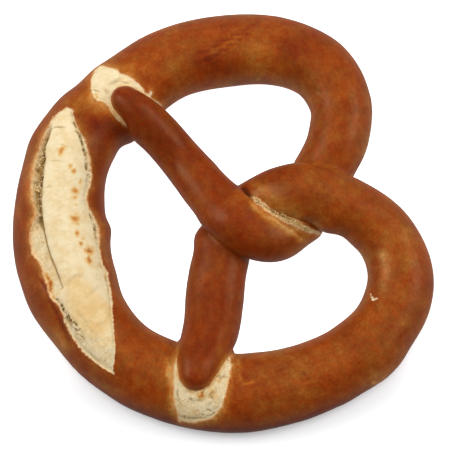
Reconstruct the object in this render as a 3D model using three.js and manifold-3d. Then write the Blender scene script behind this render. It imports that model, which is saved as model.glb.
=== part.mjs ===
// Soft pretzel: one rope of lye dough, thick in the belly and thin at both ends. Its arms cross each
// other twice and come back to rest on the belly's shoulders, so all of it bakes into one body.
// Millimetres, +Z up. It lies on its flat underside, the belly towards -Y and the two loops towards
// +Y. The origin is the middle of its footprint, on the underside.

import * as THREE from "three";
import { mergeVertices } from "three/addons/utils/BufferGeometryUtils.js";
import Module from "manifold-3d";

// Driving sizes of the mesh. Lanes are the corner lines that run along the rope. Over the split they
// follow the marks of the relief, with a flank on each side of them.
const OUTER_FLANK_LANES = 3;
const MARK_LANES = 10;
const INNER_FLANK_LANES = 7;
const TOP_LANES = OUTER_FLANK_LANES + MARK_LANES + INNER_FLANK_LANES;
const BASE_LANES = 10;
const LANES = TOP_LANES + BASE_LANES;
const ROPE_STEP = 5; // distance between rings
const SPLIT_STEP = 2.8; // distance between rings where the belly has split
const TIP_ROUND = 4.5; // length of the rounded end of an arm
const TIP_RINGS = 4; // rings in that rounded end
const TRAVEL_REACH = 5; // how far each way along the rope its direction is taken

// The rope, tip to tip. A station gives the place of its middle line, the height of its crown over
// the table, its width and its depth. Where the rope is deeper than its crown is high, it has
// settled on the table and is flat underneath.
const station = (x, y, crown, width, depth) => ({ x, y, crown, width, depth });

const FIRST_ARM = [
  station(-57, -22, 26.5, 9.5, 9), // tip, on the belly's shoulder
  station(-47.5, -15, 27, 13.5, 12.5),
  station(-38.5, -9.5, 22, 15.5, 16.5),
  station(-27.5, -4, 17, 16, 16.5), // sags onto the table
  station(-14.5, 1, 20, 17, 17),
  station(0, 8, 26.5, 20, 17), // over the second arm
  station(6, 12.5, 25.5, 20.5, 18),
  station(9, 19.5, 23.5, 20.5, 19),
  station(8.5, 26.5, 20, 20, 19),
  station(4, 33, 17, 19.5, 18), // under the second arm
  station(-4.5, 40.5, 16.5, 21, 19),
];
const FIRST_LOOP = [
  station(-17.5, 52.5, 19.5, 22.5, 22.5),
  station(-31.5, 59, 20, 23, 23),
  station(-47, 55.5, 20.5, 24.5, 23.5),
  station(-58.5, 41.5, 21, 26, 24),
  station(-64, 22, 21, 27, 24),
  station(-64.5, 1.5, 21.5, 27, 24.5),
];
const BELLY = [
  station(-57.5, -18.5, 22, 28.5, 25.5), // first shoulder
  station(-46, -38.5, 23.5, 30, 27),
  station(-31, -49, 25, 31.5, 28.5),
  station(-11.5, -54.5, 26, 35.5, 29.5),
  station(6.5, -56, 26, 35, 29.5),
  station(22.5, -53, 25, 30.5, 28.5),
  station(39.5, -44, 23.5, 29, 27),
  station(54.5, -25, 22, 29.5, 25.5), // second shoulder
];
const SECOND_LOOP = [
  station(63.5, -2.5, 21.5, 29, 24.5),
  station(64.5, 17, 21, 27, 24),
  station(61, 36.5, 21, 26, 24),
  station(51.5, 52.5, 20.5, 24.5, 23.5),
  station(36.5, 61.5, 20.5, 24, 23),
  station(20.5, 60, 21, 22.5, 22),
];
const SECOND_ARM = [
  station(7.5, 49, 24, 22.5, 19),
  station(-2, 35, 27, 20.5, 17.5), // over the first arm
  station(-4, 27.5, 25.5, 19, 18),
  station(-4, 20.5, 22.5, 18, 18.5),
  station(0, 8.5, 16, 18.5, 17), // under the first arm
  station(13.5, -1, 16, 20.5, 17),
  station(26.5, -7, 17, 21, 17.5), // sags onto the table
  station(40, -13, 22, 20.5, 20),
  station(49, -18, 26.5, 17, 15),
  station(58.5, -22.5, 26, 10, 9.5), // tip, on the belly's other shoulder
];
const STATIONS = [...FIRST_ARM, ...FIRST_LOOP, ...BELLY, ...SECOND_LOOP, ...SECOND_ARM];
const WIDEST = FIRST_ARM.length + FIRST_LOOP.length + 3.5; // station number of the belly's widest place

// The split: the baker's cut along the belly, which opened in the oven. Places along it count from
// the belly's widest point, and places across it from the crown, the hole's side positive. Each
// list runs in even steps from one end of the split to the other.
const SPLIT = {
  start: -53,
  end: 44.5,
  outerMargin: [-8, -9.5, -10.5, -8.5, -10.5, -8, -6.5, -8.5, -7], // ragged lip of crust
  crevice: [-7.5, -7.5, -6, -5.5, -4.5, -3.5, -3, -3.5, -6.5], // deep tear beside the torn strip
  innerMargin: [-6.5, 7.5, 11, 11.5, 13.5, 13.5, 11.5, 6.5, -6], // clean lip of crust
  creviceDepth: [0, 2, 2.6, 2.6, 2.4, 2, 1.2, 0.8, 0],
  fade: 9, // the relief grows to its full height over this length inside each end
  gather: 12, // the lanes run together towards it over this length outside each end
  leastWidth: 6, // width kept for the lanes where the split closes
};
const CREVICE_HALF = 1.1; // half the width of the tear's mouth
const STRIP_DROP = 0.7; // how far the torn strip lies under the crust
const BULGE_RISE = 0.9; // how far the crumb swells over the crust
const SEAM_WIDTH = 2.4; // where the crumb meets the inner lip
const SEAM_DEPTH = 1.3;
const LIP_RISE = 0.35; // the margins curl up a little

const lerp = THREE.MathUtils.lerp;
const smoothstep = THREE.MathUtils.smoothstep;

const route = new THREE.CatmullRomCurve3(STATIONS.map((s) => new THREE.Vector3(s.x, s.y, s.crown)));
route.arcLengthDivisions = 4000;
const girth = new THREE.CatmullRomCurve3(
  STATIONS.map((s) => new THREE.Vector3(s.width, s.depth, 0)), false, "catmullrom", 0.5,
);
const ropeLength = route.getLength();

/** Distance from the first tip to a place given as a station's number, which may be a fraction. */
function distanceTo(stationNumber) {
  const lengths = route.getLengths();
  const place = (stationNumber / (STATIONS.length - 1)) * (lengths.length - 1);
  const before = Math.floor(place);
  return lerp(lengths[before], lengths[Math.min(before + 1, lengths.length - 1)], place - before);
}

const widest = distanceTo(WIDEST);

/** Value of one of the split's lists at a place along it. */
function alongSplit(values, place) {
  const steps = values.length - 1;
  const at = THREE.MathUtils.clamp((place - SPLIT.start) / (SPLIT.end - SPLIT.start), 0, 1) * steps;
  const before = Math.min(Math.floor(at), steps - 1);
  return lerp(values[before], values[before + 1], smoothstep(at - before, 0, 1));
}

/** Marks across the split at a place along it: how far from the crown, and how high or low. */
function splitMarks(place) {
  const outer = alongSplit(SPLIT.outerMargin, place);
  const inner = Math.max(alongSplit(SPLIT.innerMargin, place), outer + SPLIT.leastWidth);
  const crevice = Math.max(alongSplit(SPLIT.crevice, place), outer + 2 * CREVICE_HALF);
  const stripEdge = crevice - CREVICE_HALF;
  const bulgeStart = crevice + CREVICE_HALF;
  const bulgeEnd = inner - SEAM_WIDTH;
  const bulge = (part, rise) => ({ across: lerp(bulgeStart, bulgeEnd, part), rise });
  return [
    { across: outer, rise: LIP_RISE },
    { across: (outer + stripEdge) / 2, rise: -STRIP_DROP },
    { across: stripEdge, rise: -STRIP_DROP },
    { across: crevice, rise: -alongSplit(SPLIT.creviceDepth, place) },
    bulge(0, 0),
    bulge(0.25, BULGE_RISE * 0.8),
    bulge(0.5, BULGE_RISE),
    bulge(0.75, BULGE_RISE * 0.8),
    bulge(1, 0),
    { across: inner - SEAM_WIDTH / 2, rise: -SEAM_DEPTH },
    { across: inner, rise: LIP_RISE },
  ];
}

/** Angle and rise of every lane of the split belly, from the outer flank over the top. */
function splitLanes(place, halfWidth) {
  const marks = splitMarks(place).map(({ across, rise }) => (
    { angle: Math.acos(THREE.MathUtils.clamp(-across / halfWidth, -1, 1)), rise }
  ));
  const lanes = [];
  for (let i = 0; i < OUTER_FLANK_LANES; i += 1) {
    lanes.push({ angle: (marks[0].angle * i) / OUTER_FLANK_LANES, rise: 0 });
  }
  lanes.push(...marks);
  const lastAngle = marks[marks.length - 1].angle;
  for (let i = 1; i < INNER_FLANK_LANES; i += 1) {
    lanes.push({ angle: lerp(lastAngle, Math.PI, i / INNER_FLANK_LANES), rise: 0 });
  }
  return lanes;
}

/** Distance inwards from the nearer end of the split, negative outside it. */
const insideSplit = (place) => Math.min(place - SPLIT.start, SPLIT.end - place);

/** Angle of a lane round the rope where nothing gathers it: 0 on the outer side, up over the top. */
function evenAngle(lane) {
  return lane < TOP_LANES
    ? (Math.PI * lane) / TOP_LANES
    : Math.PI * (1 + (lane - TOP_LANES) / BASE_LANES);
}

/** Part of its full girth that the rope has in its rounded ends. */
function tipScale(distance) {
  const inward = Math.min(distance, ropeLength - distance) / TIP_ROUND;
  return inward >= 1 ? 1 : Math.sqrt(Math.max(0, 1 - (1 - inward) ** 2));
}

const crownAt = (distance) => route.getPointAt(THREE.MathUtils.clamp(distance / ropeLength, 0, 1));
const sizeAt = (distance) => girth.getPoint(route.getUtoTmapping(distance / ropeLength));

/** Middle of the rope's section. */
function middleAt(distance) {
  const crown = crownAt(distance);
  return crown.setZ(crown.z - sizeAt(distance).y / 2);
}

/** One ring of the rope: its corners and the middle of its section. */
function ringAt(distance) {
  const middle = middleAt(distance);
  const travel = crownAt(distance + TRAVEL_REACH).sub(crownAt(distance - TRAVEL_REACH));
  const outward = new THREE.Vector3(travel.y, -travel.x, 0).normalize();
  const size = sizeAt(distance).multiplyScalar(tipScale(distance));
  const halfWidth = size.x / 2;
  const halfDepth = size.y / 2;

  const place = distance - widest;
  const gather = smoothstep(insideSplit(place), -SPLIT.gather, 0);
  const open = smoothstep(insideSplit(place), 0, SPLIT.fade);
  const gathered = gather > 0 ? splitLanes(place, halfWidth) : [];
  const corners = [];
  for (let lane = 0; lane < LANES; lane += 1) {
    let angle = evenAngle(lane);
    let rise = 0;
    if (lane < gathered.length) {
      angle = lerp(angle, gathered[lane].angle, gather);
      rise = gathered[lane].rise * open;
    }
    const normal = new THREE.Vector2(Math.cos(angle) / halfWidth, Math.sin(angle) / halfDepth).normalize();
    const across = halfWidth * Math.cos(angle) + normal.x * rise;
    const up = halfDepth * Math.sin(angle) + normal.y * rise;
    const corner = middle.clone().addScaledVector(outward, across);
    corner.z = Math.max(0, corner.z + up); // the table flattens the underside
    corners.push(corner);
  }
  return { middle, corners };
}

/** Even distances from one place to another, both included. */
function evenSteps(from, to, step) {
  const count = Math.max(1, Math.round((to - from) / step));
  return Array.from({ length: count + 1 }, (_, i) => lerp(from, to, i / count));
}

/** Distances of the rings in a rounded end, the point of the tip left out. */
function tipSteps() {
  return Array.from({ length: TIP_RINGS }, (_, i) => (
    TIP_ROUND * (1 - Math.cos((Math.PI / 2) * ((i + 1) / TIP_RINGS)))
  ));
}

/** A closed length of rope through rings at the given distances. */
function ropeSolid(distances, firstEnd, lastEnd) {
  const positions = [];
  const triangle = (...points) => points.forEach((p) => positions.push(p.x, p.y, p.z));
  const rings = distances.map(ringAt);
  for (let i = 0; i + 1 < rings.length; i += 1) {
    for (let lane = 0; lane < LANES; lane += 1) {
      const next = (lane + 1) % LANES;
      const [a, b] = [rings[i].corners[lane], rings[i].corners[next]];
      const [c, d] = [rings[i + 1].corners[lane], rings[i + 1].corners[next]];
      triangle(a, d, b);
      triangle(a, c, d);
    }
  }
  const first = rings[0].corners;
  const last = rings[rings.length - 1].corners;
  for (let lane = 0; lane < LANES; lane += 1) {
    const next = (lane + 1) % LANES;
    triangle(firstEnd ?? rings[0].middle, first[lane], first[next]);
    triangle(lastEnd ?? rings[rings.length - 1].middle, last[next], last[lane]);
  }
  const geometry = new THREE.BufferGeometry();
  geometry.setAttribute("position", new THREE.Float32BufferAttribute(positions, 3));
  return mergeVertices(geometry);
}

// The rope is made in three lengths that share their end rings: each arm with its side of the twist,
// and the belly with the outer halves of both loops.
const firstJoin = distanceTo(FIRST_ARM.length + 1);
const lastJoin = distanceTo(STATIONS.length - 1 - SECOND_ARM.length - 1);
const splitFrom = widest + SPLIT.start - SPLIT.gather / 2;
const splitTo = widest + SPLIT.end + SPLIT.gather / 2;

const firstArmRings = [...tipSteps(), ...evenSteps(TIP_ROUND, firstJoin, ROPE_STEP).slice(1)];
const ringRings = [
  ...evenSteps(firstJoin, splitFrom, ROPE_STEP).slice(0, -1),
  ...evenSteps(splitFrom, splitTo, SPLIT_STEP),
  ...evenSteps(splitTo, lastJoin, ROPE_STEP).slice(1),
];
const secondArmRings = [
  ...evenSteps(lastJoin, ropeLength - TIP_ROUND, ROPE_STEP).slice(0, -1),
  ...tipSteps().reverse().map((inward) => ropeLength - inward),
];

const wasm = await Module();
wasm.setup();

/** A manifold solid from a closed, merged geometry. */
function toSolid(geometry) {
  return new wasm.Manifold(new wasm.Mesh({
    numProp: 3,
    vertProperties: new Float32Array(geometry.attributes.position.array),
    triVerts: new Uint32Array(geometry.index.array),
  }));
}

/** The three lengths of rope as one body. */
function bakeTogether() {
  const firstArm = toSolid(ropeSolid(firstArmRings, middleAt(0), null));
  const ring = toSolid(ropeSolid(ringRings, null, null));
  const secondArm = toSolid(ropeSolid(secondArmRings, null, middleAt(ropeLength)));
  const mesh = ring.add(firstArm).add(secondArm).getMesh();
  const geometry = new THREE.BufferGeometry();
  geometry.setAttribute("position", new THREE.BufferAttribute(new Float32Array(mesh.vertProperties), 3));
  geometry.setIndex(new THREE.BufferAttribute(new Uint32Array(mesh.triVerts), 1));
  geometry.computeVertexNormals();
  return geometry;
}

const crust = new THREE.MeshStandardMaterial({ color: 0x7d3414, roughness: 0.35, metalness: 0 });

const pretzel = new THREE.Mesh(bakeTogether(), crust);
pretzel.name = "pretzel";

const group = new THREE.Group();
group.add(pretzel);

export default group;
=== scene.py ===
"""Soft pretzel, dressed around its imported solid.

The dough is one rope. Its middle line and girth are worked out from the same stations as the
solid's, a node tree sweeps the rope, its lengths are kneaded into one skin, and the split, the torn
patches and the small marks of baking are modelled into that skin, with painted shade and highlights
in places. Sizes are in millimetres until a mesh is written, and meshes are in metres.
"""

import logging
import math
from dataclasses import dataclass, field
from enum import IntEnum
from typing import TypeVar

import bmesh
import bpy
import numpy as np
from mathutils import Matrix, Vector


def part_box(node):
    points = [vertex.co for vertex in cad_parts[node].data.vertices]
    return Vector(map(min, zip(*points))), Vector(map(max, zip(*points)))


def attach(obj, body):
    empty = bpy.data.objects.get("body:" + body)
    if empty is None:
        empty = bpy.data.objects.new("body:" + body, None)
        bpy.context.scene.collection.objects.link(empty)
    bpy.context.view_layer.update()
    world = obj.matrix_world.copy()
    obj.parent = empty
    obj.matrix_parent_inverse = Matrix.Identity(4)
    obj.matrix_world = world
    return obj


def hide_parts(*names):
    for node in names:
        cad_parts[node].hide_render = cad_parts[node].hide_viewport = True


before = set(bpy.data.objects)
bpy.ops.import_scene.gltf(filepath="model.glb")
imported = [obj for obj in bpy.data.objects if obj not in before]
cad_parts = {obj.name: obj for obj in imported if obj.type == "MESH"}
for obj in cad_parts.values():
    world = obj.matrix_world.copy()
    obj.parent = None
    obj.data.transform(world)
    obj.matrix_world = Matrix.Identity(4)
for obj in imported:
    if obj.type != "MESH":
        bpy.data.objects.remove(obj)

MM = 0.001
log = logging.getLogger("soft_pretzel")

Numbers = np.ndarray
Line = tuple[tuple[float, float], ...]
Colour = tuple[float, float, float, float]
Ramp = tuple[tuple[float, Colour], ...]
Socket = bpy.types.NodeSocket
Record = TypeVar("Record")

PLAIN_WHITE: Colour = (1.0, 1.0, 1.0, 1.0)
GILT_FADE = (-7.0, -5.0)  # distances from the crumb's edge over which the golden rim's mark ends


def each(kind: type[Record], *rows: tuple) -> tuple[Record, ...]:
    """One record of a kind for each row of its values."""
    return tuple(kind(*row) for row in rows)


def srgb(red: int, green: int, blue: int) -> Colour:
    """A colour given as eye values from 0 to 255, as the linear colour that shaders take."""
    parts = [value / 255 for value in (red, green, blue)]
    linear = [p / 12.92 if p <= 0.04045 else ((p + 0.055) / 1.055) ** 2.4 for p in parts]
    return (linear[0], linear[1], linear[2], 1.0)


def smooth_between(value: Numbers, low: float, high: float) -> Numbers:
    """A smooth step of value from 0 at low to 1 at high, which may be the lower number."""
    part = np.clip((value - low) / (high - low), 0.0, 1.0)
    return part * part * (3.0 - 2.0 * part)


# ---- Noise ----


class DoughNoise:
    """Seeded smooth noise in space, for lumps, rough crumb and ragged edges.

    A number added to the points before they are given reads another part of the same noise.
    """

    full_range = 1.6
    layer_shift = 31.7

    def __init__(self, seed: int) -> None:
        """Draws the table of directions.

        Args:
            seed: number that fixes every draw.
        """
        draw = np.random.default_rng(seed)
        self.table = draw.permutation(256)
        directions = draw.normal(size=(256, 3))
        self.directions = directions / np.linalg.norm(directions, axis=1)[:, None]
        self.jitter = draw.uniform(0.1, 0.9, size=(256, 3))

    def _slot(self, cell: Numbers) -> Numbers:
        """Table entry of each whole-numbered cell."""
        turned = self.table[cell[:, 0] & 255]
        turned = self.table[(turned + cell[:, 1]) & 255]
        return self.table[(turned + cell[:, 2]) & 255]

    def at(self, points: Numbers, wavelength: float) -> Numbers:
        """Noise at points.

        Args:
            points: places, one row each.
            wavelength: distance over which the noise changes.

        Returns:
            One value for each point, from about -1 to 1.
        """
        scaled = points / wavelength
        cell = np.floor(scaled).astype(np.int64)
        part = scaled - cell
        ease = part * part * part * (part * (part * 6 - 15) + 10)
        total = np.zeros(len(points))
        for corner in np.ndindex(2, 2, 2):
            offset = np.array(corner)
            direction = self.directions[self._slot(cell + offset)]
            weight = np.prod(np.where(offset == 1, ease, 1 - ease), axis=1)
            total += weight * np.einsum("ij,ij->i", direction, part - offset)
        return total * self.full_range

    def fractal(self, points: Numbers, wavelength: float, octaves: int, gain: float = 0.5) -> Numbers:
        """Several layers of noise, each finer and weaker than the last.

        Args:
            points: places, one row each.
            wavelength: distance over which the coarsest layer changes.
            octaves: number of layers.
            gain: strength of each layer as a part of the one before.

        Returns:
            One value for each point, from about -1 to 1.
        """
        total, strength, reach = np.zeros(len(points)), 1.0, 0.0
        for octave in range(octaves):
            total += strength * self.at(points + self.layer_shift * octave, wavelength / 2**octave)
            reach += strength
            strength *= gain
        return total / reach

    def pits(self, points: Numbers, spacing: float) -> Numbers:
        """Distance from each point to the nearest of scattered pits, as a part of their spacing."""
        scaled = points / spacing
        cell = np.floor(scaled).astype(np.int64)
        nearest = np.full(len(points), 9.0)
        for offset in np.ndindex(3, 3, 3):
            neighbour = cell + np.array(offset) - 1
            centre = neighbour + self.jitter[self._slot(neighbour)]
            nearest = np.minimum(nearest, np.linalg.norm(scaled - centre, axis=1))
        return nearest


# ---- The rope's line and its skin ----


@dataclass(frozen=True)
class Station:
    """A named place on the rope: its middle line, crown height, width and depth."""

    x: float
    y: float
    crown: float
    width: float
    depth: float


class Strand(IntEnum):
    """The three lengths of the rope that meet at the crossings."""

    FIRST_ARM = 0
    RING = 1
    SECOND_ARM = 2


FIRST_ARM = each(
    Station,
    (-56.4, -21.7, 26.3, 8.2, 8.4),  # tip, on the belly's shoulder
    (-47.5, -15, 27, 12.7, 12.5),
    (-38.5, -9.5, 22, 15.5, 16.5),
    (-27.5, -4, 17, 16, 16.5),  # sags onto the table
    (-14.5, 1, 20, 17, 17),
    (0, 8, 26.5, 20, 17),  # over the second arm
    (6, 12.5, 25.5, 20.5, 18),
    (9, 19.5, 23.5, 20.5, 19),
    (8.5, 26.5, 20, 20, 19),
    (4, 33, 17, 19.5, 18),  # under the second arm
    (-4.5, 40.5, 16.5, 21, 19),
)
FIRST_LOOP = each(
    Station,
    (-17.5, 52.5, 19.5, 22.5, 22.5),
    (-31.5, 59, 20, 23, 23),
    (-47, 55.5, 20.5, 24.5, 23.5),
    (-58.5, 41.5, 21, 26, 24),
    (-64, 22, 21, 27, 24),
    (-64.5, 1.5, 21.5, 27, 24.5),
)
BELLY = each(
    Station,
    (-57.5, -18.5, 22, 28.5, 25.5),  # first shoulder
    (-46, -38.5, 23.5, 30, 27),
    (-31, -49, 25, 31.5, 28.5),
    (-11.5, -54.5, 26, 35.5, 29.5),
    (6.5, -56, 26, 35, 29.5),
    (22.5, -53, 25, 30.5, 28.5),
    (39.5, -44, 23.5, 29, 27),
    (54.5, -25, 22, 29.5, 25.5),  # second shoulder
)
SECOND_LOOP = each(
    Station,
    (63.5, -2.5, 21.5, 29, 24.5),
    (64.5, 17, 21, 27, 24),
    (61, 36.5, 21, 26, 24),
    (51.5, 52.5, 20.5, 24.5, 23.5),
    (36.5, 61.5, 20.5, 24, 23),
    (20.5, 60, 21, 22.5, 22),
)
SECOND_ARM = each(
    Station,
    (7.5, 49, 24, 22.5, 19),
    (-2, 35, 27, 20.5, 17.5),  # over the first arm
    (-4, 27.5, 25.5, 19, 18),
    (-4, 20.5, 22.5, 18, 18.5),
    (0, 8.5, 16, 18.5, 17),  # under the first arm
    (13.5, -1, 16, 20.5, 17),
    (26.5, -7, 17, 21, 17.5),  # sags onto the table
    (40, -13, 22, 20.5, 20),
    (49, -19, 26.5, 16.3, 15),
    (58.2, -24, 26, 9.6, 9.5),  # tip, on the belly's other shoulder
)


def through_stations(values: Numbers, at: Numbers, centripetal: bool) -> Numbers:
    """A smooth curve through rows of values.

    Args:
        values: one row for each station.
        at: station numbers, which may be fractions.
        centripetal: whether the curve allows for uneven spacing, as the middle line does.

    Returns:
        One row for each entry of at.
    """
    last = len(values) - 1
    before = np.minimum(np.floor(at).astype(int), last - 1)
    part = (at - before)[:, None]
    padded = np.vstack([2 * values[0] - values[1], values, 2 * values[-1] - values[-2]])
    p0, p1, p2, p3 = (padded[before + k] for k in range(4))
    if centripetal:
        d0, d1, d2 = (
            np.maximum(np.sum((b - a) ** 2, axis=1) ** 0.25, 1e-6)[:, None]
            for a, b in ((p0, p1), (p1, p2), (p2, p3))
        )
        leave = ((p1 - p0) / d0 - (p2 - p0) / (d0 + d1) + (p2 - p1) / d1) * d1
        arrive = ((p2 - p1) / d1 - (p3 - p1) / (d1 + d2) + (p3 - p2) / d2) * d1
    else:
        leave, arrive = 0.5 * (p2 - p0), 0.5 * (p3 - p1)
    return (
        p1
        + leave * part
        + (3 * (p2 - p1) - 2 * leave - arrive) * part**2
        + (2 * (p1 - p2) + leave + arrive) * part**3
    )


@dataclass
class Section:
    """Where points lie in the rope's sections.

    Attributes:
        distance: how far each point is from one strand's skin, negative inside.
        place: distance along the rope from the belly's widest place.
        across: distance from the middle line, the hole's side positive.
        up: height over the middle of the section.
        near: number of the nearest sample of the middle line.
    """

    distance: Numbers
    place: Numbers
    across: Numbers
    up: Numbers
    near: Numbers


@dataclass
class RopeLine:
    """The rope's middle line and girth, sampled evenly from tip to tip.

    Attributes:
        spacing: distance between samples.
        travel_reach: how far before and after a sample its direction is taken.
        tip_round: length over which a tip is rounded off.
        least_half: smallest half size that a section is measured with.
        fine_samples: how finely the line is drawn before it is sampled.
        widest_station: place of the belly's widest part.
        stations: the stations from tip to tip.
    """

    spacing: float = 0.5
    travel_reach: float = 5.0
    tip_round: float = 4.5
    least_half: float = 0.2
    fine_samples: int = 8001
    widest_station: float = len(FIRST_ARM) + len(FIRST_LOOP) + 3.5
    stations: tuple[Station, ...] = FIRST_ARM + FIRST_LOOP + BELLY + SECOND_LOOP + SECOND_ARM

    def __post_init__(self) -> None:
        """Samples the line, its direction and the size of its section."""
        places = np.array([(s.x, s.y, s.crown) for s in self.stations])
        girths = np.array([(s.width, s.depth) for s in self.stations])
        fine = np.linspace(0, len(self.stations) - 1, self.fine_samples)
        fine_line = through_stations(places, fine, True)
        run = np.r_[0, np.cumsum(np.linalg.norm(np.diff(fine_line, axis=0), axis=1))]
        self.length = float(run[-1])
        count = int(round(self.length / self.spacing))
        self.along = np.linspace(0, self.length, count + 1)
        self.spacing = self.length / count
        at = np.interp(self.along, run, fine)
        crown = through_stations(places, at, True)
        girth = through_stations(girths, at, False)
        self.middle = crown - np.array([0, 0, 0.5]) * girth[:, 1:2]

        def crown_after(offset: float) -> Numbers:
            """Places seen from above, some distance further along the rope than each sample."""
            moved = np.interp(np.clip(self.along + offset, 0, self.length), run, fine)
            return through_stations(places, moved, True)[:, :2]

        travel = crown_after(self.travel_reach) - crown_after(-self.travel_reach)
        self.travel = travel / np.linalg.norm(travel, axis=1)[:, None]
        self.inward = np.stack([-self.travel[:, 1], self.travel[:, 0]], axis=1)
        inward_run = np.minimum(self.along, self.length - self.along) / self.tip_round
        tip = np.sqrt(np.clip(1 - (1 - np.clip(inward_run, 0, 1)) ** 2, 0, 1))
        self.half_width = 0.5 * girth[:, 0] * tip
        self.half_depth = 0.5 * girth[:, 1] * tip
        self.widest = float(np.interp(self.widest_station, fine, run))
        first_join = self._sample_at(len(FIRST_ARM) + 1, fine, run)
        last_join = self._sample_at(len(self.stations) - len(SECOND_ARM) - 2, fine, run)
        self.spans = {
            Strand.FIRST_ARM: (0, first_join),
            Strand.RING: (first_join, last_join),
            Strand.SECOND_ARM: (last_join, count),
        }

    def _sample_at(self, station: float, fine: Numbers, run: Numbers) -> int:
        """Sample number of a place given as a station number."""
        return int(round(float(np.interp(station, fine, run)) / self.spacing))

    def nearest(self, strand: Strand, points: Numbers) -> Numbers:
        """Number of the strand's sample that is nearest to each point, seen from above.

        Args:
            strand: length of the rope to search.
            points: places to search from.

        Returns:
            The sample numbers.
        """
        first, last = self.spans[strand]
        coarse = np.arange(first, last + 1, 4)
        line = self.middle[coarse, :2]
        found = np.empty(len(points), dtype=int)
        block_size = 20000
        for start in range(0, len(points), block_size):
            block = points[start : start + block_size, :2]
            gap = (block**2).sum(1)[:, None] - 2 * block @ line.T + (line**2).sum(1)
            found[start : start + block_size] = coarse[np.argmin(gap, axis=1)]
        return found

    def section(self, strand: Strand, points: Numbers, near: Numbers) -> Section:
        """Places points in the sections of one strand.

        Args:
            strand: the length of the rope to measure against.
            points: places in millimetres, one row each.
            near: sample numbers within a few samples of the nearest ones.

        Returns:
            The section coordinates of the points.
        """
        first, last = self.spans[strand]
        tries = np.clip(near[:, None] + np.arange(-4, 5), first, last)
        gap = ((points[:, None, :2] - self.middle[tries, :2]) ** 2).sum(2)
        near = np.take_along_axis(tries, gap.argmin(1)[:, None], axis=1)[:, 0]
        place = near.astype(float)

        def here(samples: Numbers) -> Numbers:
            """Values of the line's samples, blended at each point's place."""
            below = np.clip(np.floor(place).astype(int), first, max(first, last - 1))
            part = place - below if samples.ndim == 1 else (place - below)[:, None]
            return samples[below] * (1 - part) + samples[below + 1] * part

        for _ in range(2):
            offset = points[:, :2] - here(self.middle[:, :2])
            ahead = np.einsum("ij,ij->i", offset, here(self.travel))
            place = np.clip(place + np.clip(ahead / self.spacing, -3, 3), first, last)
        half_width = np.maximum(here(self.half_width), self.least_half)
        half_depth = np.maximum(here(self.half_depth), self.least_half)
        offset = points - here(self.middle)
        across = np.einsum("ij,ij->i", offset[:, :2], here(self.inward))
        beyond = np.abs(np.einsum("ij,ij->i", offset[:, :2], here(self.travel)))
        beyond = np.where((place <= first) | (place >= last), beyond, 0.0)
        up = offset[:, 2]
        reach = np.maximum(np.hypot(across / half_width, up / half_depth), 1e-4)
        steepness = np.hypot(across / half_width**2, up / half_depth**2) / reach
        distance = (reach - 1) / np.maximum(steepness, 1e-4)
        distance = np.where(beyond > 0, np.hypot(np.maximum(distance, 0), beyond), distance)
        return Section(distance, place * self.spacing - self.widest, across, up, near)


@dataclass
class SkinPoint:
    """Points on the dough's skin, in the coordinates of the strands that carry them.

    Attributes:
        points: places in millimetres.
        sections: where the points lie in each strand's sections.
        strand: which strand's skin each point lies on.
    """

    points: Numbers
    sections: list[Section]
    strand: Numbers

    def own(self, name: str) -> Numbers:
        """One coordinate of each point, measured in the strand that it lies on."""
        values = np.stack([getattr(section, name) for section in self.sections], axis=1)
        return values[np.arange(len(self.strand)), self.strand]

    def lead(self, strand: Strand) -> Numbers:
        """How far the points are from the crease round a strand, positive on its own skin."""
        others = [self.sections[other].distance for other in Strand if other != strand]
        return np.minimum(others[0], others[1]) - self.sections[strand].distance


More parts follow.
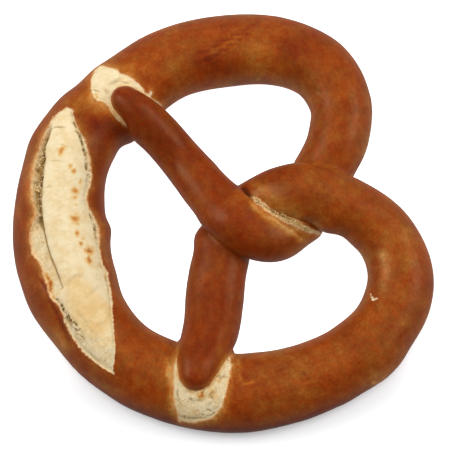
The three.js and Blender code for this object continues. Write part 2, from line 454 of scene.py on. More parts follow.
@dataclass
class RopeSkin:
    """The skin of the whole rope, its strands baked together where they touch.

    Attributes:
        line: the rope's line.
        crease_fill: how much dough fills the crease between two strands.
        table_round: how rounded the edge of the flat underside is.
        same_run: distance along the rope within which two strands are one length of dough.
        other_run: distance along the rope from which they are two lengths that touch.
        probe: how far apart the slope of the skin is felt.
        longest_move: farthest that a point settles in one round.
    """

    line: RopeLine
    crease_fill: float = 1.5
    table_round: float = 1.6
    same_run: float = 18.0
    other_run: float = 40.0
    probe: float = 0.05
    longest_move: float = 1.2

    def near(self, points: Numbers) -> list[Numbers]:
        """The nearest sample of every strand to each point."""
        return [self.line.nearest(strand, points) for strand in Strand]

    def _sections(self, points: Numbers, near: list[Numbers]) -> list[Section]:
        """Sections of every strand, with near brought up to date."""
        found = [self.line.section(strand, points, near[strand]) for strand in Strand]
        for strand in Strand:
            near[strand] = found[strand].near
        return found

    def _join(self, first: Section, second: Section, always: bool) -> Numbers:
        """Distance to two strands at once, with dough in the crease between them."""
        gap = np.abs(first.place - second.place)
        apart = 1.0 if always else smooth_between(gap, self.same_run, self.other_run)
        fill = np.maximum(self.crease_fill * apart, 1e-3)
        overlap = np.maximum(fill - np.abs(first.distance - second.distance), 0) / fill
        return np.minimum(first.distance, second.distance) - 0.25 * fill * overlap**2

    def distance(self, points: Numbers, near: list[Numbers]) -> Numbers:
        """Distance from points to the skin, negative inside, the flat underside included.

        Args:
            points: places to measure.
            near: number of the nearest sample of each strand.

        Returns:
            The distance of each point.
        """
        first, ring, second = self._sections(points, near)
        arms = Section(
            self._join(first, second, True),
            np.where(first.distance < second.distance, first.place, second.place),
            first.across,
            first.up,
            first.near,
        )
        rope = self._join(arms, ring, False)
        under = -points[:, 2]
        overlap = np.maximum(self.table_round - np.abs(rope - under), 0) / self.table_round
        return np.maximum(rope, under) + 0.25 * self.table_round * overlap**2

    def slope(self, points: Numbers, near: list[Numbers], value: Numbers) -> Numbers:
        """How the distance grows along each axis."""
        rows = []
        for axis in range(3):
            moved = points.copy()
            moved[:, axis] += self.probe
            rows.append((self.distance(moved, near) - value) / self.probe)
        return np.stack(rows, axis=1)

    def settle(self, points: Numbers, rounds: int) -> tuple[Numbers, Numbers]:
        """Moves points onto the skin.

        Args:
            points: places in millimetres, near the skin.
            rounds: how many times the move is repeated.

        Returns:
            The moved points, and the directions out of the dough there.
        """
        near = self.near(points)
        for _ in range(rounds):
            value = self.distance(points, near)
            slope = self.slope(points, near, value)
            steep = np.maximum((slope**2).sum(1), 0.2)
            points = points - np.clip(value / steep, -self.longest_move, self.longest_move)[:, None] * slope
        slope = self.slope(points, near, self.distance(points, near))
        return points, slope / np.maximum(np.linalg.norm(slope, axis=1), 1e-6)[:, None]

    def describe(self, points: Numbers) -> SkinPoint:
        """Rope coordinates of points on the skin."""
        sections = self._sections(points, self.near(points))
        strand = np.stack([section.distance for section in sections], axis=1).argmin(1)
        return SkinPoint(points, sections, strand)


# ---- Relief and the marks of baking ----


@dataclass
class Relief:
    """What baking does at each point of the skin.

    Attributes:
        rise: how far the skin swells, or sinks if negative, in millimetres.
        crumb: distance inside the edge of bare crumb, negative on crust, in millimetres.
        toast: how much the crumb is toasted, 0 to 1.
        torn: how deep the dough is torn and how much painted shade darkens it there, 0 to 1.
        bake: how light the crust is, from -1 deep brown to 1 golden, with painted shade and sheen in places.
        gilt: how golden the crust is at the edge of the crumb, 0 to 1.
        coarse: how open and ragged the crumb is, 0 to 1.
    """

    rise: Numbers
    crumb: Numbers
    toast: Numbers
    torn: Numbers
    bake: Numbers
    gilt: Numbers
    coarse: Numbers

    @classmethod
    def plain(cls, count: int) -> "Relief":
        """Bare crust with no relief at count points."""
        zero = np.zeros(count)
        others = [zero.copy() for _ in range(5)]
        return cls(zero, np.full(count, -40.0), *others)

    def raise_to(self, name: str, near: Numbers, values: Numbers) -> None:
        """Lifts one of the marks to at least the given values at some points."""
        marks = getattr(self, name)
        marks[near] = np.maximum(marks[near], values)


def outline_distance(points: Numbers, outline: Line) -> Numbers:
    """Distance inside a closed outline, negative outside it.

    Args:
        points: places to measure, in two columns.
        outline: its corners in order.

    Returns:
        The distance of each point.
    """
    corners = np.array(outline)
    inside = np.zeros(len(points), dtype=bool)
    nearest = np.full(len(points), 1e9)
    for start, end in zip(corners, np.roll(corners, -1, axis=0)):
        edge = end - start
        part = np.clip(((points - start) @ edge) / (edge @ edge), 0, 1)
        nearest = np.minimum(nearest, np.linalg.norm(points - start - part[:, None] * edge, axis=1))
        crosses = (start[1] > points[:, 1]) != (end[1] > points[:, 1])
        rise = edge[1] if abs(edge[1]) > 1e-9 else 1e-9
        at = start[0] + (points[:, 1] - start[1]) / rise * edge[0]
        inside ^= crosses & (points[:, 0] < at)
    return np.where(inside, nearest, -nearest)


def line_distance(points: Numbers, line: Line) -> tuple[Numbers, Numbers]:
    """Distance to an open line, and how far along it the nearest place is, 0 to 1.

    Args:
        points: places to measure, in two columns.
        line: its corners in order.

    Returns:
        The distance and the part of the line, for each point.
    """
    corners = np.array(line)
    steps = np.linalg.norm(np.diff(corners, axis=0), axis=1)
    run = np.r_[0, np.cumsum(steps)]
    nearest, along = np.full(len(points), 1e9), np.zeros(len(points))
    for index, (start, end) in enumerate(zip(corners[:-1], corners[1:])):
        edge = end - start
        part = np.clip(((points - start) @ edge) / (edge @ edge), 0, 1)
        gap = np.linalg.norm(points - start - part[:, None] * edge, axis=1)
        closer = gap < nearest
        nearest = np.where(closer, gap, nearest)
        along = np.where(closer, (run[index] + part * steps[index]) / run[-1], along)
    return nearest, along


@dataclass(frozen=True)
class ToastSpot:
    """A toasted freckle of crumb: its place, its half sizes and how dark it is."""

    place: float
    across: float
    long_half: float
    wide_half: float
    toast: float = 0.75


@dataclass(frozen=True)
class Fold:
    """A crease in bare crumb, given by places along and across the rope; lined is its painted shade."""

    line: Line
    half_width: float
    depth: float
    lined: float = 0.0


def creased(folds: tuple[Fold, ...], place: Numbers, across: Numbers) -> tuple[Numbers, Numbers]:
    """How deep the creases are at points, and how much painted shade they get."""
    depth, dark = np.zeros(len(place)), np.zeros(len(place))
    for fold in folds:
        gap, along = line_distance(np.stack([place, across], 1), fold.line)
        mark = np.exp(-((gap / fold.half_width) ** 2)) * np.sin(np.pi * (along * 0.9 + 0.05))
        depth = np.maximum(depth, fold.depth * mark)
        # painted shade along the crease
        dark = np.maximum(dark, fold.lined * mark)
    return depth, dark


def toasted(spots: tuple[ToastSpot, ...], place: Numbers, across: Numbers, ragged: Numbers) -> Numbers:
    """How toasted points are by a set of freckles, whose edges are made ragged."""
    toast = np.zeros(len(place))
    for spot in spots:
        gap = np.hypot((place - spot.place) / spot.long_half, (across - spot.across) / spot.wide_half)
        frayed = gap + 0.7 * ragged
        halo, core = smooth_between(frayed, 1.55, 0.5), smooth_between(frayed, 0.75, 0.1)
        toast = np.maximum(toast, spot.toast * (0.62 * halo + 0.5 * core))
    return toast


@dataclass
class SplitBelly:
    """The baker's cut along the belly, which opened in the oven.

    Lines are pairs of a place along the rope and a distance from its crown, the hole's side
    positive. Profiles are pairs of a place along the rope and a value there.

    Attributes:
        outer_lip, inner_lip: lines of the crust's two lips.
        tear: line of the crevice between the torn strip and the swollen crumb.
        tear_depth, tear_width: profiles of its depth and half width.
        strip_coarse, strip_step: profiles of how ragged and how low the torn strip is.
        seam_inset, seam_depth: profiles of the seam inside the inner lip.
        outer_gilt, inner_gilt: profiles of how golden the lips are.
        reach: how far past its ends the split is worked on.
        fade: length over which the swelling begins at either end.
        tan_middle, tan_half, tan_toast: the wide toasted patch.
    """

    outer_lip: Line = (
        (-52.2, -8.5), (-50.7, -9.3), (-47.8, -10.2), (-45, -10), (-41.6, -9.5), (-35.2, -9.6),
        (-30.5, -10), (-25.3, -9.8), (-20.5, -9), (-16.5, -7.9), (-14.9, -7.7), (-12.3, -8.8),
        (-10.3, -9.9), (-6.9, -10.6), (-1.4, -10.4), (0.4, -8.9), (4.1, -7.9), (6.2, -8.1),
        (9, -7.7), (12, -8.2), (14.5, -7.9), (16.4, -7), (19.9, -6.9), (22.6, -7.6),
        (26.1, -8.3), (31.3, -8.8), (36.1, -8.3), (40.8, -8), (44.8, -7.5),
    )
    inner_lip: Line = (
        (-52.2, -5.1), (-50.6, -2.6), (-47.9, 1.4), (-46, 4.5), (-42.9, 6.9), (-38.8, 9.1),
        (-32.5, 11), (-26.9, 11.3), (-22.2, 10.4), (-17.7, 10.9), (-14.2, 12.6), (-10.1, 13.8),
        (-5, 14), (2.6, 13.6), (8.4, 13.3), (12.4, 13.9), (20.1, 12.3), (25.5, 10.3), (30.2, 7.6),
        (35.5, 4.5), (40.2, 0.6), (42.8, -3), (44.8, -7.1),
    )
    tear: Line = (
        (-46, -9.4), (-44, -8.6), (-41, -8.3), (-38, -8.3), (-34.6, -6.9), (-30.2, -6.4), (-26.3, -6.4),
        (-21.5, -6.2), (-17, -6.3), (-12.5, -6), (-9.4, -5.3), (-4.8, -4.8), (-0.3, -4.2), (4.9, -3.2),
        (8.7, -2.9), (12.6, -3), (13.6, -4.6), (14.4, -7), (16.4, -6.1), (20.4, -6), (23.4, -5.4),
        (27.4, -4.9), (30.6, -5.7), (36, -6),
    )
    tear_depth: Line = (
        (-46, 0), (-44, 1.2), (-38, 1.6), (-22, 1.7), (-12, 1.6), (-8, 0.95), (0, 0.68), (10, 0.6),
        (12.4, 0.5), (13.4, 0), (14.2, 0), (15.2, 1), (22, 1.2), (29, 1.1), (32, 0.3), (33.5, 0),
    )
    tear_width: Line = (
        (-46, 0.5), (-40, 0.95), (-20, 1.25), (-12, 1.0), (-8.5, 0.3), (13.4, 0.24), (14.6, 0.8),
        (20, 1.0), (28, 0.9), (32, 0.5),
    )
    strip_coarse: Line = (
        (-47, 0.1), (-43, 0.75), (-34, 1), (-14, 1), (-9, 0.3), (12, 0.2), (16, 0.6), (28, 0.6),
        (33, 0.25), (40, 0.15), (44, 0.15),
    )
    strip_step: Line = ((-50, 1), (12, 1), (16, 0.3), (28, 0.15), (33, 0))
    seam_inset: Line = (
        (-52, 0.3), (-48, 0.7), (-45, 1.4), (-30, 1.5), (-25, 0.9), (-14, 1), (-5, 1), (10, 0.75), (44, 0.6),
    )
    seam_depth: Line = (
        (-52, 0.4), (-49, 0.9), (-34, 1.1), (-27, 0.5), (-22, 0.15), (-15, 0.2), (-12, 1), (-5, 0.9),
        (-2, 0.2), (14, 0.35), (20, 0.25), (26, 0.1), (44, 0.1),
    )
    outer_gilt: Line = (
        (-53, 0.15), (-46, 0.25), (-42, 0.9), (-16, 1), (-8, 0.8), (0, 0.55), (8, 0.7), (14, 0.45),
        (18, 0.2), (30, 0.1), (44, 0.25),
    )
    inner_gilt: Line = (
        (-53, 0.3), (-45, 0.6), (-12, 0.6), (-6, 0.9), (-2, 0.6), (4, 0.3), (10, 0.2), (20, 0.03), (44, 0.03),
    )
    reach: float = 9.0
    strip_drop: float = 0.55
    bulge_rise: float = 0.9
    lip_rise: float = 0.4
    fade: float = 9.0
    spots: tuple[ToastSpot, ...] = each(
        ToastSpot,
        (-38.4, -1.2, 2.3, 1.0, 0.7),
        (-33.0, 3.3, 1.3, 0.9, 0.58),
        (-31.6, 4.9, 1.4, 1.0, 0.64),
        (-27.9, 7.6, 1.3, 0.7, 0.45),
        (-23.6, 6.2, 1.7, 1.6, 0.66),
        (-20.6, 6.2, 1.0, 1.1, 0.6),
        (-17.6, 6.7, 0.7, 0.7, 0.35),
        (-12.0, 6.0, 1.9, 1.6, 0.74),
        (-10.2, 6.7, 0.8, 0.9, 0.5),
        (-6.3, 6.4, 1.2, 0.9, 0.7),
        (-4.0, 8.1, 0.9, 0.9, 0.35),
        (-2.2, 7.1, 1.0, 1.0, 0.7),
        (1.2, 9.7, 2.2, 1.9, 0.88),
        (4.9, 8.8, 1.9, 1.4, 0.84),
        (7.4, -7.1, 1.6, 0.8, 0.85),
        (9.3, -6.8, 1.3, 1.1, 0.95),
        (11.4, -7.4, 1.8, 0.8, 0.8),
        (13.6, -7.4, 1.2, 0.6, 0.6),
        (8.6, 12.0, 1.4, 0.9, 0.3),
        (13.5, 12.6, 1.8, 0.8, 0.35),
    )
    tan_middle: tuple[float, float] = (23.5, 1.5)
    tan_half: tuple[float, float] = (13.5, 7.5)
    tan_toast: float = 0.28
    # folds with a lined value get painted shade along them
    folds: tuple[Fold, ...] = each(
        Fold,
        (((-44.0, -8.4), (-45.2, -7.1), (-45.9, -5.0), (-46.6, -3.4)), 0.28, 0.35, 0.42),
        (((-43.6, -8.3), (-41.2, -8.1), (-38.6, -8.2), (-36.6, -7.6)), 0.45, 0.3, 0.62),
        (((16.4, -3.7), (11.4, 0.1), (10.1, 2.9), (11.4, 5.5), (13.7, 7)), 0.8, 0.34, 0.1),
        (((19.3, 3.8), (17.9, 7.6), (16.2, 10.1)), 0.9, 0.26, 0.08),
        (((26, -2.8), (29.6, 0.6), (34, 1.4)), 0.9, 0.2),
        (((-24, -4.4), (-24.6, -1.6)), 0.35, 0.16, 0.2),
        (((-33.5, -5.0), (-34.4, 1.0)), 0.3, 0.14, 0.2),
        (((-40, -4.5), (-40.6, 4.0)), 0.25, 0.1, 0.14),
        (((-8, -2), (-7.2, 5)), 0.25, 0.1, 0.12),
        (((21, -2.5), (27, -1.5), (33, -2.6)), 0.5, 0.16, 0.06),
    )

    @staticmethod
    def _along(line: Line, place: Numbers) -> Numbers:
        """Value of a line or profile at places along the rope."""
        corners = np.array(line)
        return np.interp(place, corners[:, 0], corners[:, 1])

    def bake(self, skin: SkinPoint, relief: Relief, noise: DoughNoise) -> None:
        """Opens the split in the skin.

        Args:
            skin: the points to work on.
            relief: what is changed there.
            noise: source of roughness.
        """
        ring = skin.sections[Strand.RING]
        first, last = self.outer_lip[0][0], self.outer_lip[-1][0]
        around = (ring.place > first - self.reach) & (ring.place < last + self.reach) & (ring.up > 0)
        near = np.flatnonzero(around & (ring.distance < 3))
        place, across, spots = ring.place[near], ring.across[near], skin.points[near]
        from_lip = []
        for lip, side, ragged in ((self.outer_lip, 1, 0.42), (self.inner_lip, -1, 0.2)):
            slope = (self._along(lip, place + 0.8) - self._along(lip, place - 0.8)) / 1.6
            gap = side * (across - self._along(lip, place)) / np.sqrt(1 + slope**2)
            from_lip.append(gap + ragged * noise.fractal(spots, 2.9, 3, 0.6))
        ends = np.minimum(place - first, last - place)
        edge = np.minimum(np.minimum(from_lip[0], from_lip[1]), ends + 0.6)
        edge = np.minimum(edge, skin.lead(Strand.RING)[near])
        grown = smooth_between(ends, 0, self.fade)
        inside = smooth_between(edge, -0.1, 0.6)
        coarse = self._along(self.strip_coarse, place)
        joined = smooth_between(place, 12, 14.5)

        wander = 0.42 * noise.fractal(spots, 5.0, 3, 0.55) * (0.4 + 0.6 * coarse)
        tear = self._along(self.tear, place) - wander
        off_tear = across - tear
        pockets = smooth_between(noise.fractal(spots + 9.0, 2.8, 2), -0.45, 0.4)
        pockets = 1 - coarse * (1 - (0.25 + 0.75 * pockets))
        broken = smooth_between(noise.fractal(spots + 31.0, 1.5, 3, 0.7), -0.2, 0.25)
        pockets = pockets * (1 - joined) + broken * joined
        half = self._along(self.tear_width, place)
        half = np.where(off_tear < 0, half * (1 + 0.9 * coarse), half * 0.65)
        depth = self._along(self.tear_depth, place) * pockets
        groove = np.exp(-((np.abs(off_tear) / half) ** 1.7))
        strip = smooth_between(off_tear, 0.5, -0.5) * inside * self._along(self.strip_step, place)

        inner = self._along(self.inner_lip, place)
        base = tear * (1 - joined) + (self._along(self.outer_lip, place) + 0.8) * joined
        part = np.clip((across - base) / np.maximum(inner - base, 1.0), 0, 1)
        bulge = np.clip(1 - (2 * part - 1) ** 2, 0, 1) ** 0.7 * inside

        seam_depth = self._along(self.seam_depth, place) * smooth_between(
            noise.fractal(spots + 4, 2.2, 2), -0.5, 0.35
        )
        off_seam = from_lip[1] - self._along(self.seam_inset, place)
        off_seam = off_seam + 0.25 * noise.fractal(spots + 37, 1.7, 2)
        seam = np.exp(-((off_seam / 0.5) ** 2)) * smooth_between(edge, 0, 0.5)
        seam = seam * (0.4 + 0.6 * smooth_between(noise.fractal(spots + 27, 1.3, 2), -0.3, 0.15))
        frayed = smooth_between(off_seam, 0.5, -0.1) * smooth_between(edge, 0, 0.4)
        frayed = frayed * np.clip(1.4 * seam_depth, 0, 1)
        beads = noise.fractal(spots + 45, 1.1, 2)

        rough = noise.fractal(spots, 2.3, 3, 0.6)
        low_end = smooth_between(place, 24, 31)
        soft = noise.fractal(spots + 17, 6.5, 3)
        holes = smooth_between(noise.pits(spots, 1.9), 0.46, 0.14) * coarse
        lip = np.exp(-((np.minimum(edge, 0) / 1.5) ** 2)) * smooth_between(edge, 0.3, -0.2)
        crease, lined = creased(self.folds, place, across)
        floor = smooth_between(edge, 0.1, 1.0)

        relief.rise[near] += (
            grown * self.bulge_rise * bulge
            - self.strip_drop * strip * smooth_between(ends, 0, 5)
            - depth * groove * floor
            - seam_depth * seam * smooth_between(ends, 0, 3)
            + self.lip_rise * lip * smooth_between(ends, -1, 4)
            + strip * coarse * (0.32 * rough - 0.6 * holes)
            + inside * ((0.05 + 0.2 * low_end) * rough + 0.16 * soft)
            + 0.3 * frayed * beads
            - crease * inside
            - 0.3 * inside * smooth_between(bulge * grown, 0.5, 0)
        )
        ragged = noise.fractal(spots + 3, 1.5, 2)
        tan_gap = np.hypot(
            (place - self.tan_middle[0]) / self.tan_half[0], (across - self.tan_middle[1]) / self.tan_half[1]
        )
        tan = self.tan_toast * smooth_between(tan_gap + 0.4 * noise.fractal(spots, 7.0, 3), 1.25, 0.6)
        tan = np.maximum(tan, 0.22 * strip * coarse)
        toast = np.maximum(toasted(self.spots, place, across, ragged), tan) * smooth_between(edge, -0.3, 0.2)
        relief.raise_to("toast", near, toast)
        # painted shade in the crevice, the seam, the frayed edge, the pits, the lined folds and the torn
        # strip
        shade = np.maximum.reduce([
            groove * np.clip(depth / 1.1, 0, 0.85) * floor,
            0.8 * seam * np.clip(seam_depth / 0.9, 0, 1),
            0.42 * frayed * smooth_between(beads, 0.0, -0.35),
            0.62 * holes * strip * smooth_between(edge, 0.3, 1.0),
            lined * inside,
            strip * coarse * (0.06 + 0.44 * smooth_between(rough, 0.1, -0.3)),
            0.4 * strip * coarse * smooth_between(noise.fractal(spots + 51, 1.0, 2), 0.08, 0.38),
            0.1 * low_end * inside * smooth_between(rough, 0.0, -0.45),
        ])
        relief.raise_to("torn", near, shade)
        relief.raise_to("crumb", near, edge)
        outer_gilt, inner_gilt = (self._along(gilt, place) for gilt in (self.outer_gilt, self.inner_gilt))
        gilt = np.where(from_lip[0] < from_lip[1], outer_gilt, inner_gilt)
        relief.raise_to("gilt", near, gilt * smooth_between(edge, *GILT_FADE))
        open_crumb = np.clip(strip * coarse + 0.5 * seam * np.clip(seam_depth, 0, 1) + 0.7 * frayed, 0, 1)
        relief.raise_to("coarse", near, inside * np.maximum(open_crumb, 0.06 + 0.3 * low_end))


@dataclass
class TornPatch:
    """Bare dough round the tip of an arm, where the crust tore as the shoulder swelled.

    Attributes:
        outline: its edge, as pairs of a place along the rope and a distance from its crown.
        soft_edge: width over which the crust gives way to it.
        climb: how far it climbs the arm that lies on it.
        gilt: how golden the crust is round it.
        rubbed, tan: how toasted it is beside the arm, and elsewhere.
    """

    name: str
    outline: Line
    swell: float = 0.35
    soft_edge: float = 0.8
    climb: float = 0.25
    coarse: float = 0.1
    gilt: float = 0.5
    rubbed: float = 0.4
    tan: float = 0.0
    spots: tuple[ToastSpot, ...] = ()
    folds: tuple[Fold, ...] = ()

    def bake(self, skin: SkinPoint, relief: Relief, noise: DoughNoise) -> None:
        """Bares the patch in the skin.

        Args:
            skin: the points to work on.
            relief: what is changed there.
            noise: source of roughness.
        """
        ring = skin.sections[Strand.RING]
        edge = outline_distance(np.stack([ring.place, ring.across], axis=1), self.outline)
        near = np.flatnonzero((edge > -7) & (ring.up > 0) & (ring.distance < 6))
        points, place, across = skin.points[near], ring.place[near], ring.across[near]
        edge = edge[near] + 0.45 * noise.fractal(points, 3.4, 3, 0.6)
        seam = np.exp(-(((edge - 0.5) / 0.5) ** 2))
        edge = np.minimum(edge, skin.lead(Strand.RING)[near] + self.climb)
        inside = smooth_between(edge, -0.2, self.soft_edge)
        rough = noise.fractal(points, 1.9, 3, 0.6)
        soft = noise.fractal(points + 5, 6.0, 2)
        cells = noise.pits(points + 2, 1.3)
        holes = smooth_between(cells + 0.6 * noise.at(points, 2.5), 0.3, 0.05)
        crease, lined = creased(self.folds, place, across)
        relief.rise[near] += (
            self.swell * smooth_between(edge, 0.3, 3.0)
            + inside * ((0.06 + 0.2 * self.coarse) * rough + 0.14 * soft)
            - inside * (0.5 * self.coarse * holes + crease)
            - 0.2 * seam * inside
        )
        relief.raise_to("crumb", near, edge)
        # painted shade in the patch: a soft shadow in the crumb's hollows drawn from noise, with the pits and
        # lined folds
        hollow = smooth_between(noise.fractal(points + 13, 4.5, 3, 0.6), 0.05, 0.55)
        shadow = self.coarse * (0.15 * smooth_between(rough, 0.1, -0.4) + 0.2 * hollow)
        relief.raise_to("torn", near, inside * np.maximum.reduce([0.6 * self.coarse * holes, lined, shadow]))
        toast = toasted(self.spots, place, across, noise.fractal(points + 3, 1.4, 2))
        tan = self.tan * smooth_between(noise.fractal(points + 8, 7.0, 3), -0.2, 0.6)
        rub = smooth_between(skin.lead(Strand.RING)[near], 1.6, 0.2) * smooth_between(across, -9, -2)
        rub = self.rubbed * rub * smooth_between(noise.fractal(points + 21, 5.0, 2), -0.6, 0.3)
        relief.raise_to("toast", near, np.maximum.reduce([toast, tan, rub]) * inside)
        relief.raise_to("gilt", near, self.gilt * smooth_between(edge, *GILT_FADE))
        relief.raise_to("coarse", near, self.coarse * inside)


@dataclass
class TwistTear:
    """The torn string of dough in the crease where the arms pull apart at the twist.

    Attributes:
        line: the string, seen from above.
        hole: the deep gap where it begins, sunk and given painted shade.
    """

    line: Line = (
        (-4.1, 16.4), (-1.3, 18.1), (1.6, 20.2), (4.2, 22.3), (6.4, 24.9), (8.4, 27.5),
        (10.3, 29.9), (11.8, 32), (12.8, 34.6), (13.2, 36.4),
    )
    half_width: float = 1.05
    hole: Line = ((-8.4, 14.6), (-6.4, 15.2), (-4.6, 16.0))

    def bake(self, skin: SkinPoint, relief: Relief, noise: DoughNoise) -> None:
        """Tears the crease of the twist.

        Args:
            skin: the points to work on.
            relief: what is changed there.
            noise: source of roughness.
        """
        gap, along = line_distance(skin.points[:, :2], self.line)
        near = np.flatnonzero((gap < 9) & (skin.points[:, 2] > 8) & (skin.strand != Strand.RING))
        points, gap, along = skin.points[near], gap[near], along[near]
        taper = smooth_between(along, -0.02, 0.1) * smooth_between(along, 1.04, 0.8)
        width = self.half_width * (0.5 + 0.5 * taper) * (1 + 0.35 * noise.at(points, 3.2))
        edge = width - gap + 0.32 * noise.fractal(points, 1.7, 2)
        edge = np.where(taper > 0.02, edge, np.minimum(edge, -0.3))
        string = smooth_between(edge, -0.2, 0.45) * taper
        holes = smooth_between(noise.pits(points + 6, 1.7), 0.5, 0.18)
        relief.rise[near] += string * (0.55 + 0.3 * noise.fractal(points, 1.6, 2)) - 0.5 * holes * string
        relief.raise_to("crumb", near, edge)
        relief.raise_to("gilt", near, 0.55 * smooth_between(gap, 4, 2))
        relief.raise_to("coarse", near, 0.8 * string)
        relief.raise_to("toast", near, 0.3 * string)
        # painted shade: the string's pits and slit, and the hole where it begins, are darkened through the
        # torn mark
        aside, _ = line_distance(points[:, :2], self.hole)
        start = smooth_between(aside + 0.3 * noise.at(points, 1.6), 1.5, 0.3)
        slit = smooth_between(gap, 0.5, 0.15) * smooth_between(along, 0.75, 0.5)
        slit = 0.75 * slit * smooth_between(noise.fractal(points + 12, 3.0, 2), -0.5, 0.1)
        depths = np.maximum(np.maximum(0.9 * holes, slit), 0.4)
        relief.raise_to("torn", near, np.maximum(string * depths, start))
        relief.rise[near] -= 0.5 * start


@dataclass(frozen=True)
class Scar:
    """A nick in the crust between two points seen from above; a bare one shows crumb."""

    start: tuple[float, float]
    end: tuple[float, float]
    half_width: float
    depth: float
    bare: bool = False
    shade: float = 0.0


@dataclass(frozen=True)
class Streak:
    """A lighter or darker stripe in the crust, seen from above."""

    name: str
    line: Line
    half_width: float
    tone: float
    groove: float = 0.0


@dataclass(frozen=True)
class BakedPlace:
    """A wide place where the crust is drawn lighter or darker, seen from above; a few are painted light."""

    name: str
    x: float
    y: float
    long_half: float
    wide_half: float
    turn_deg: float
    tone: float


@dataclass(frozen=True)
class Swelling:
    """A place where the rope bulges past its even girth, or is pinched if negative."""

    name: str
    x: float
    y: float
    radius: float
    height: float


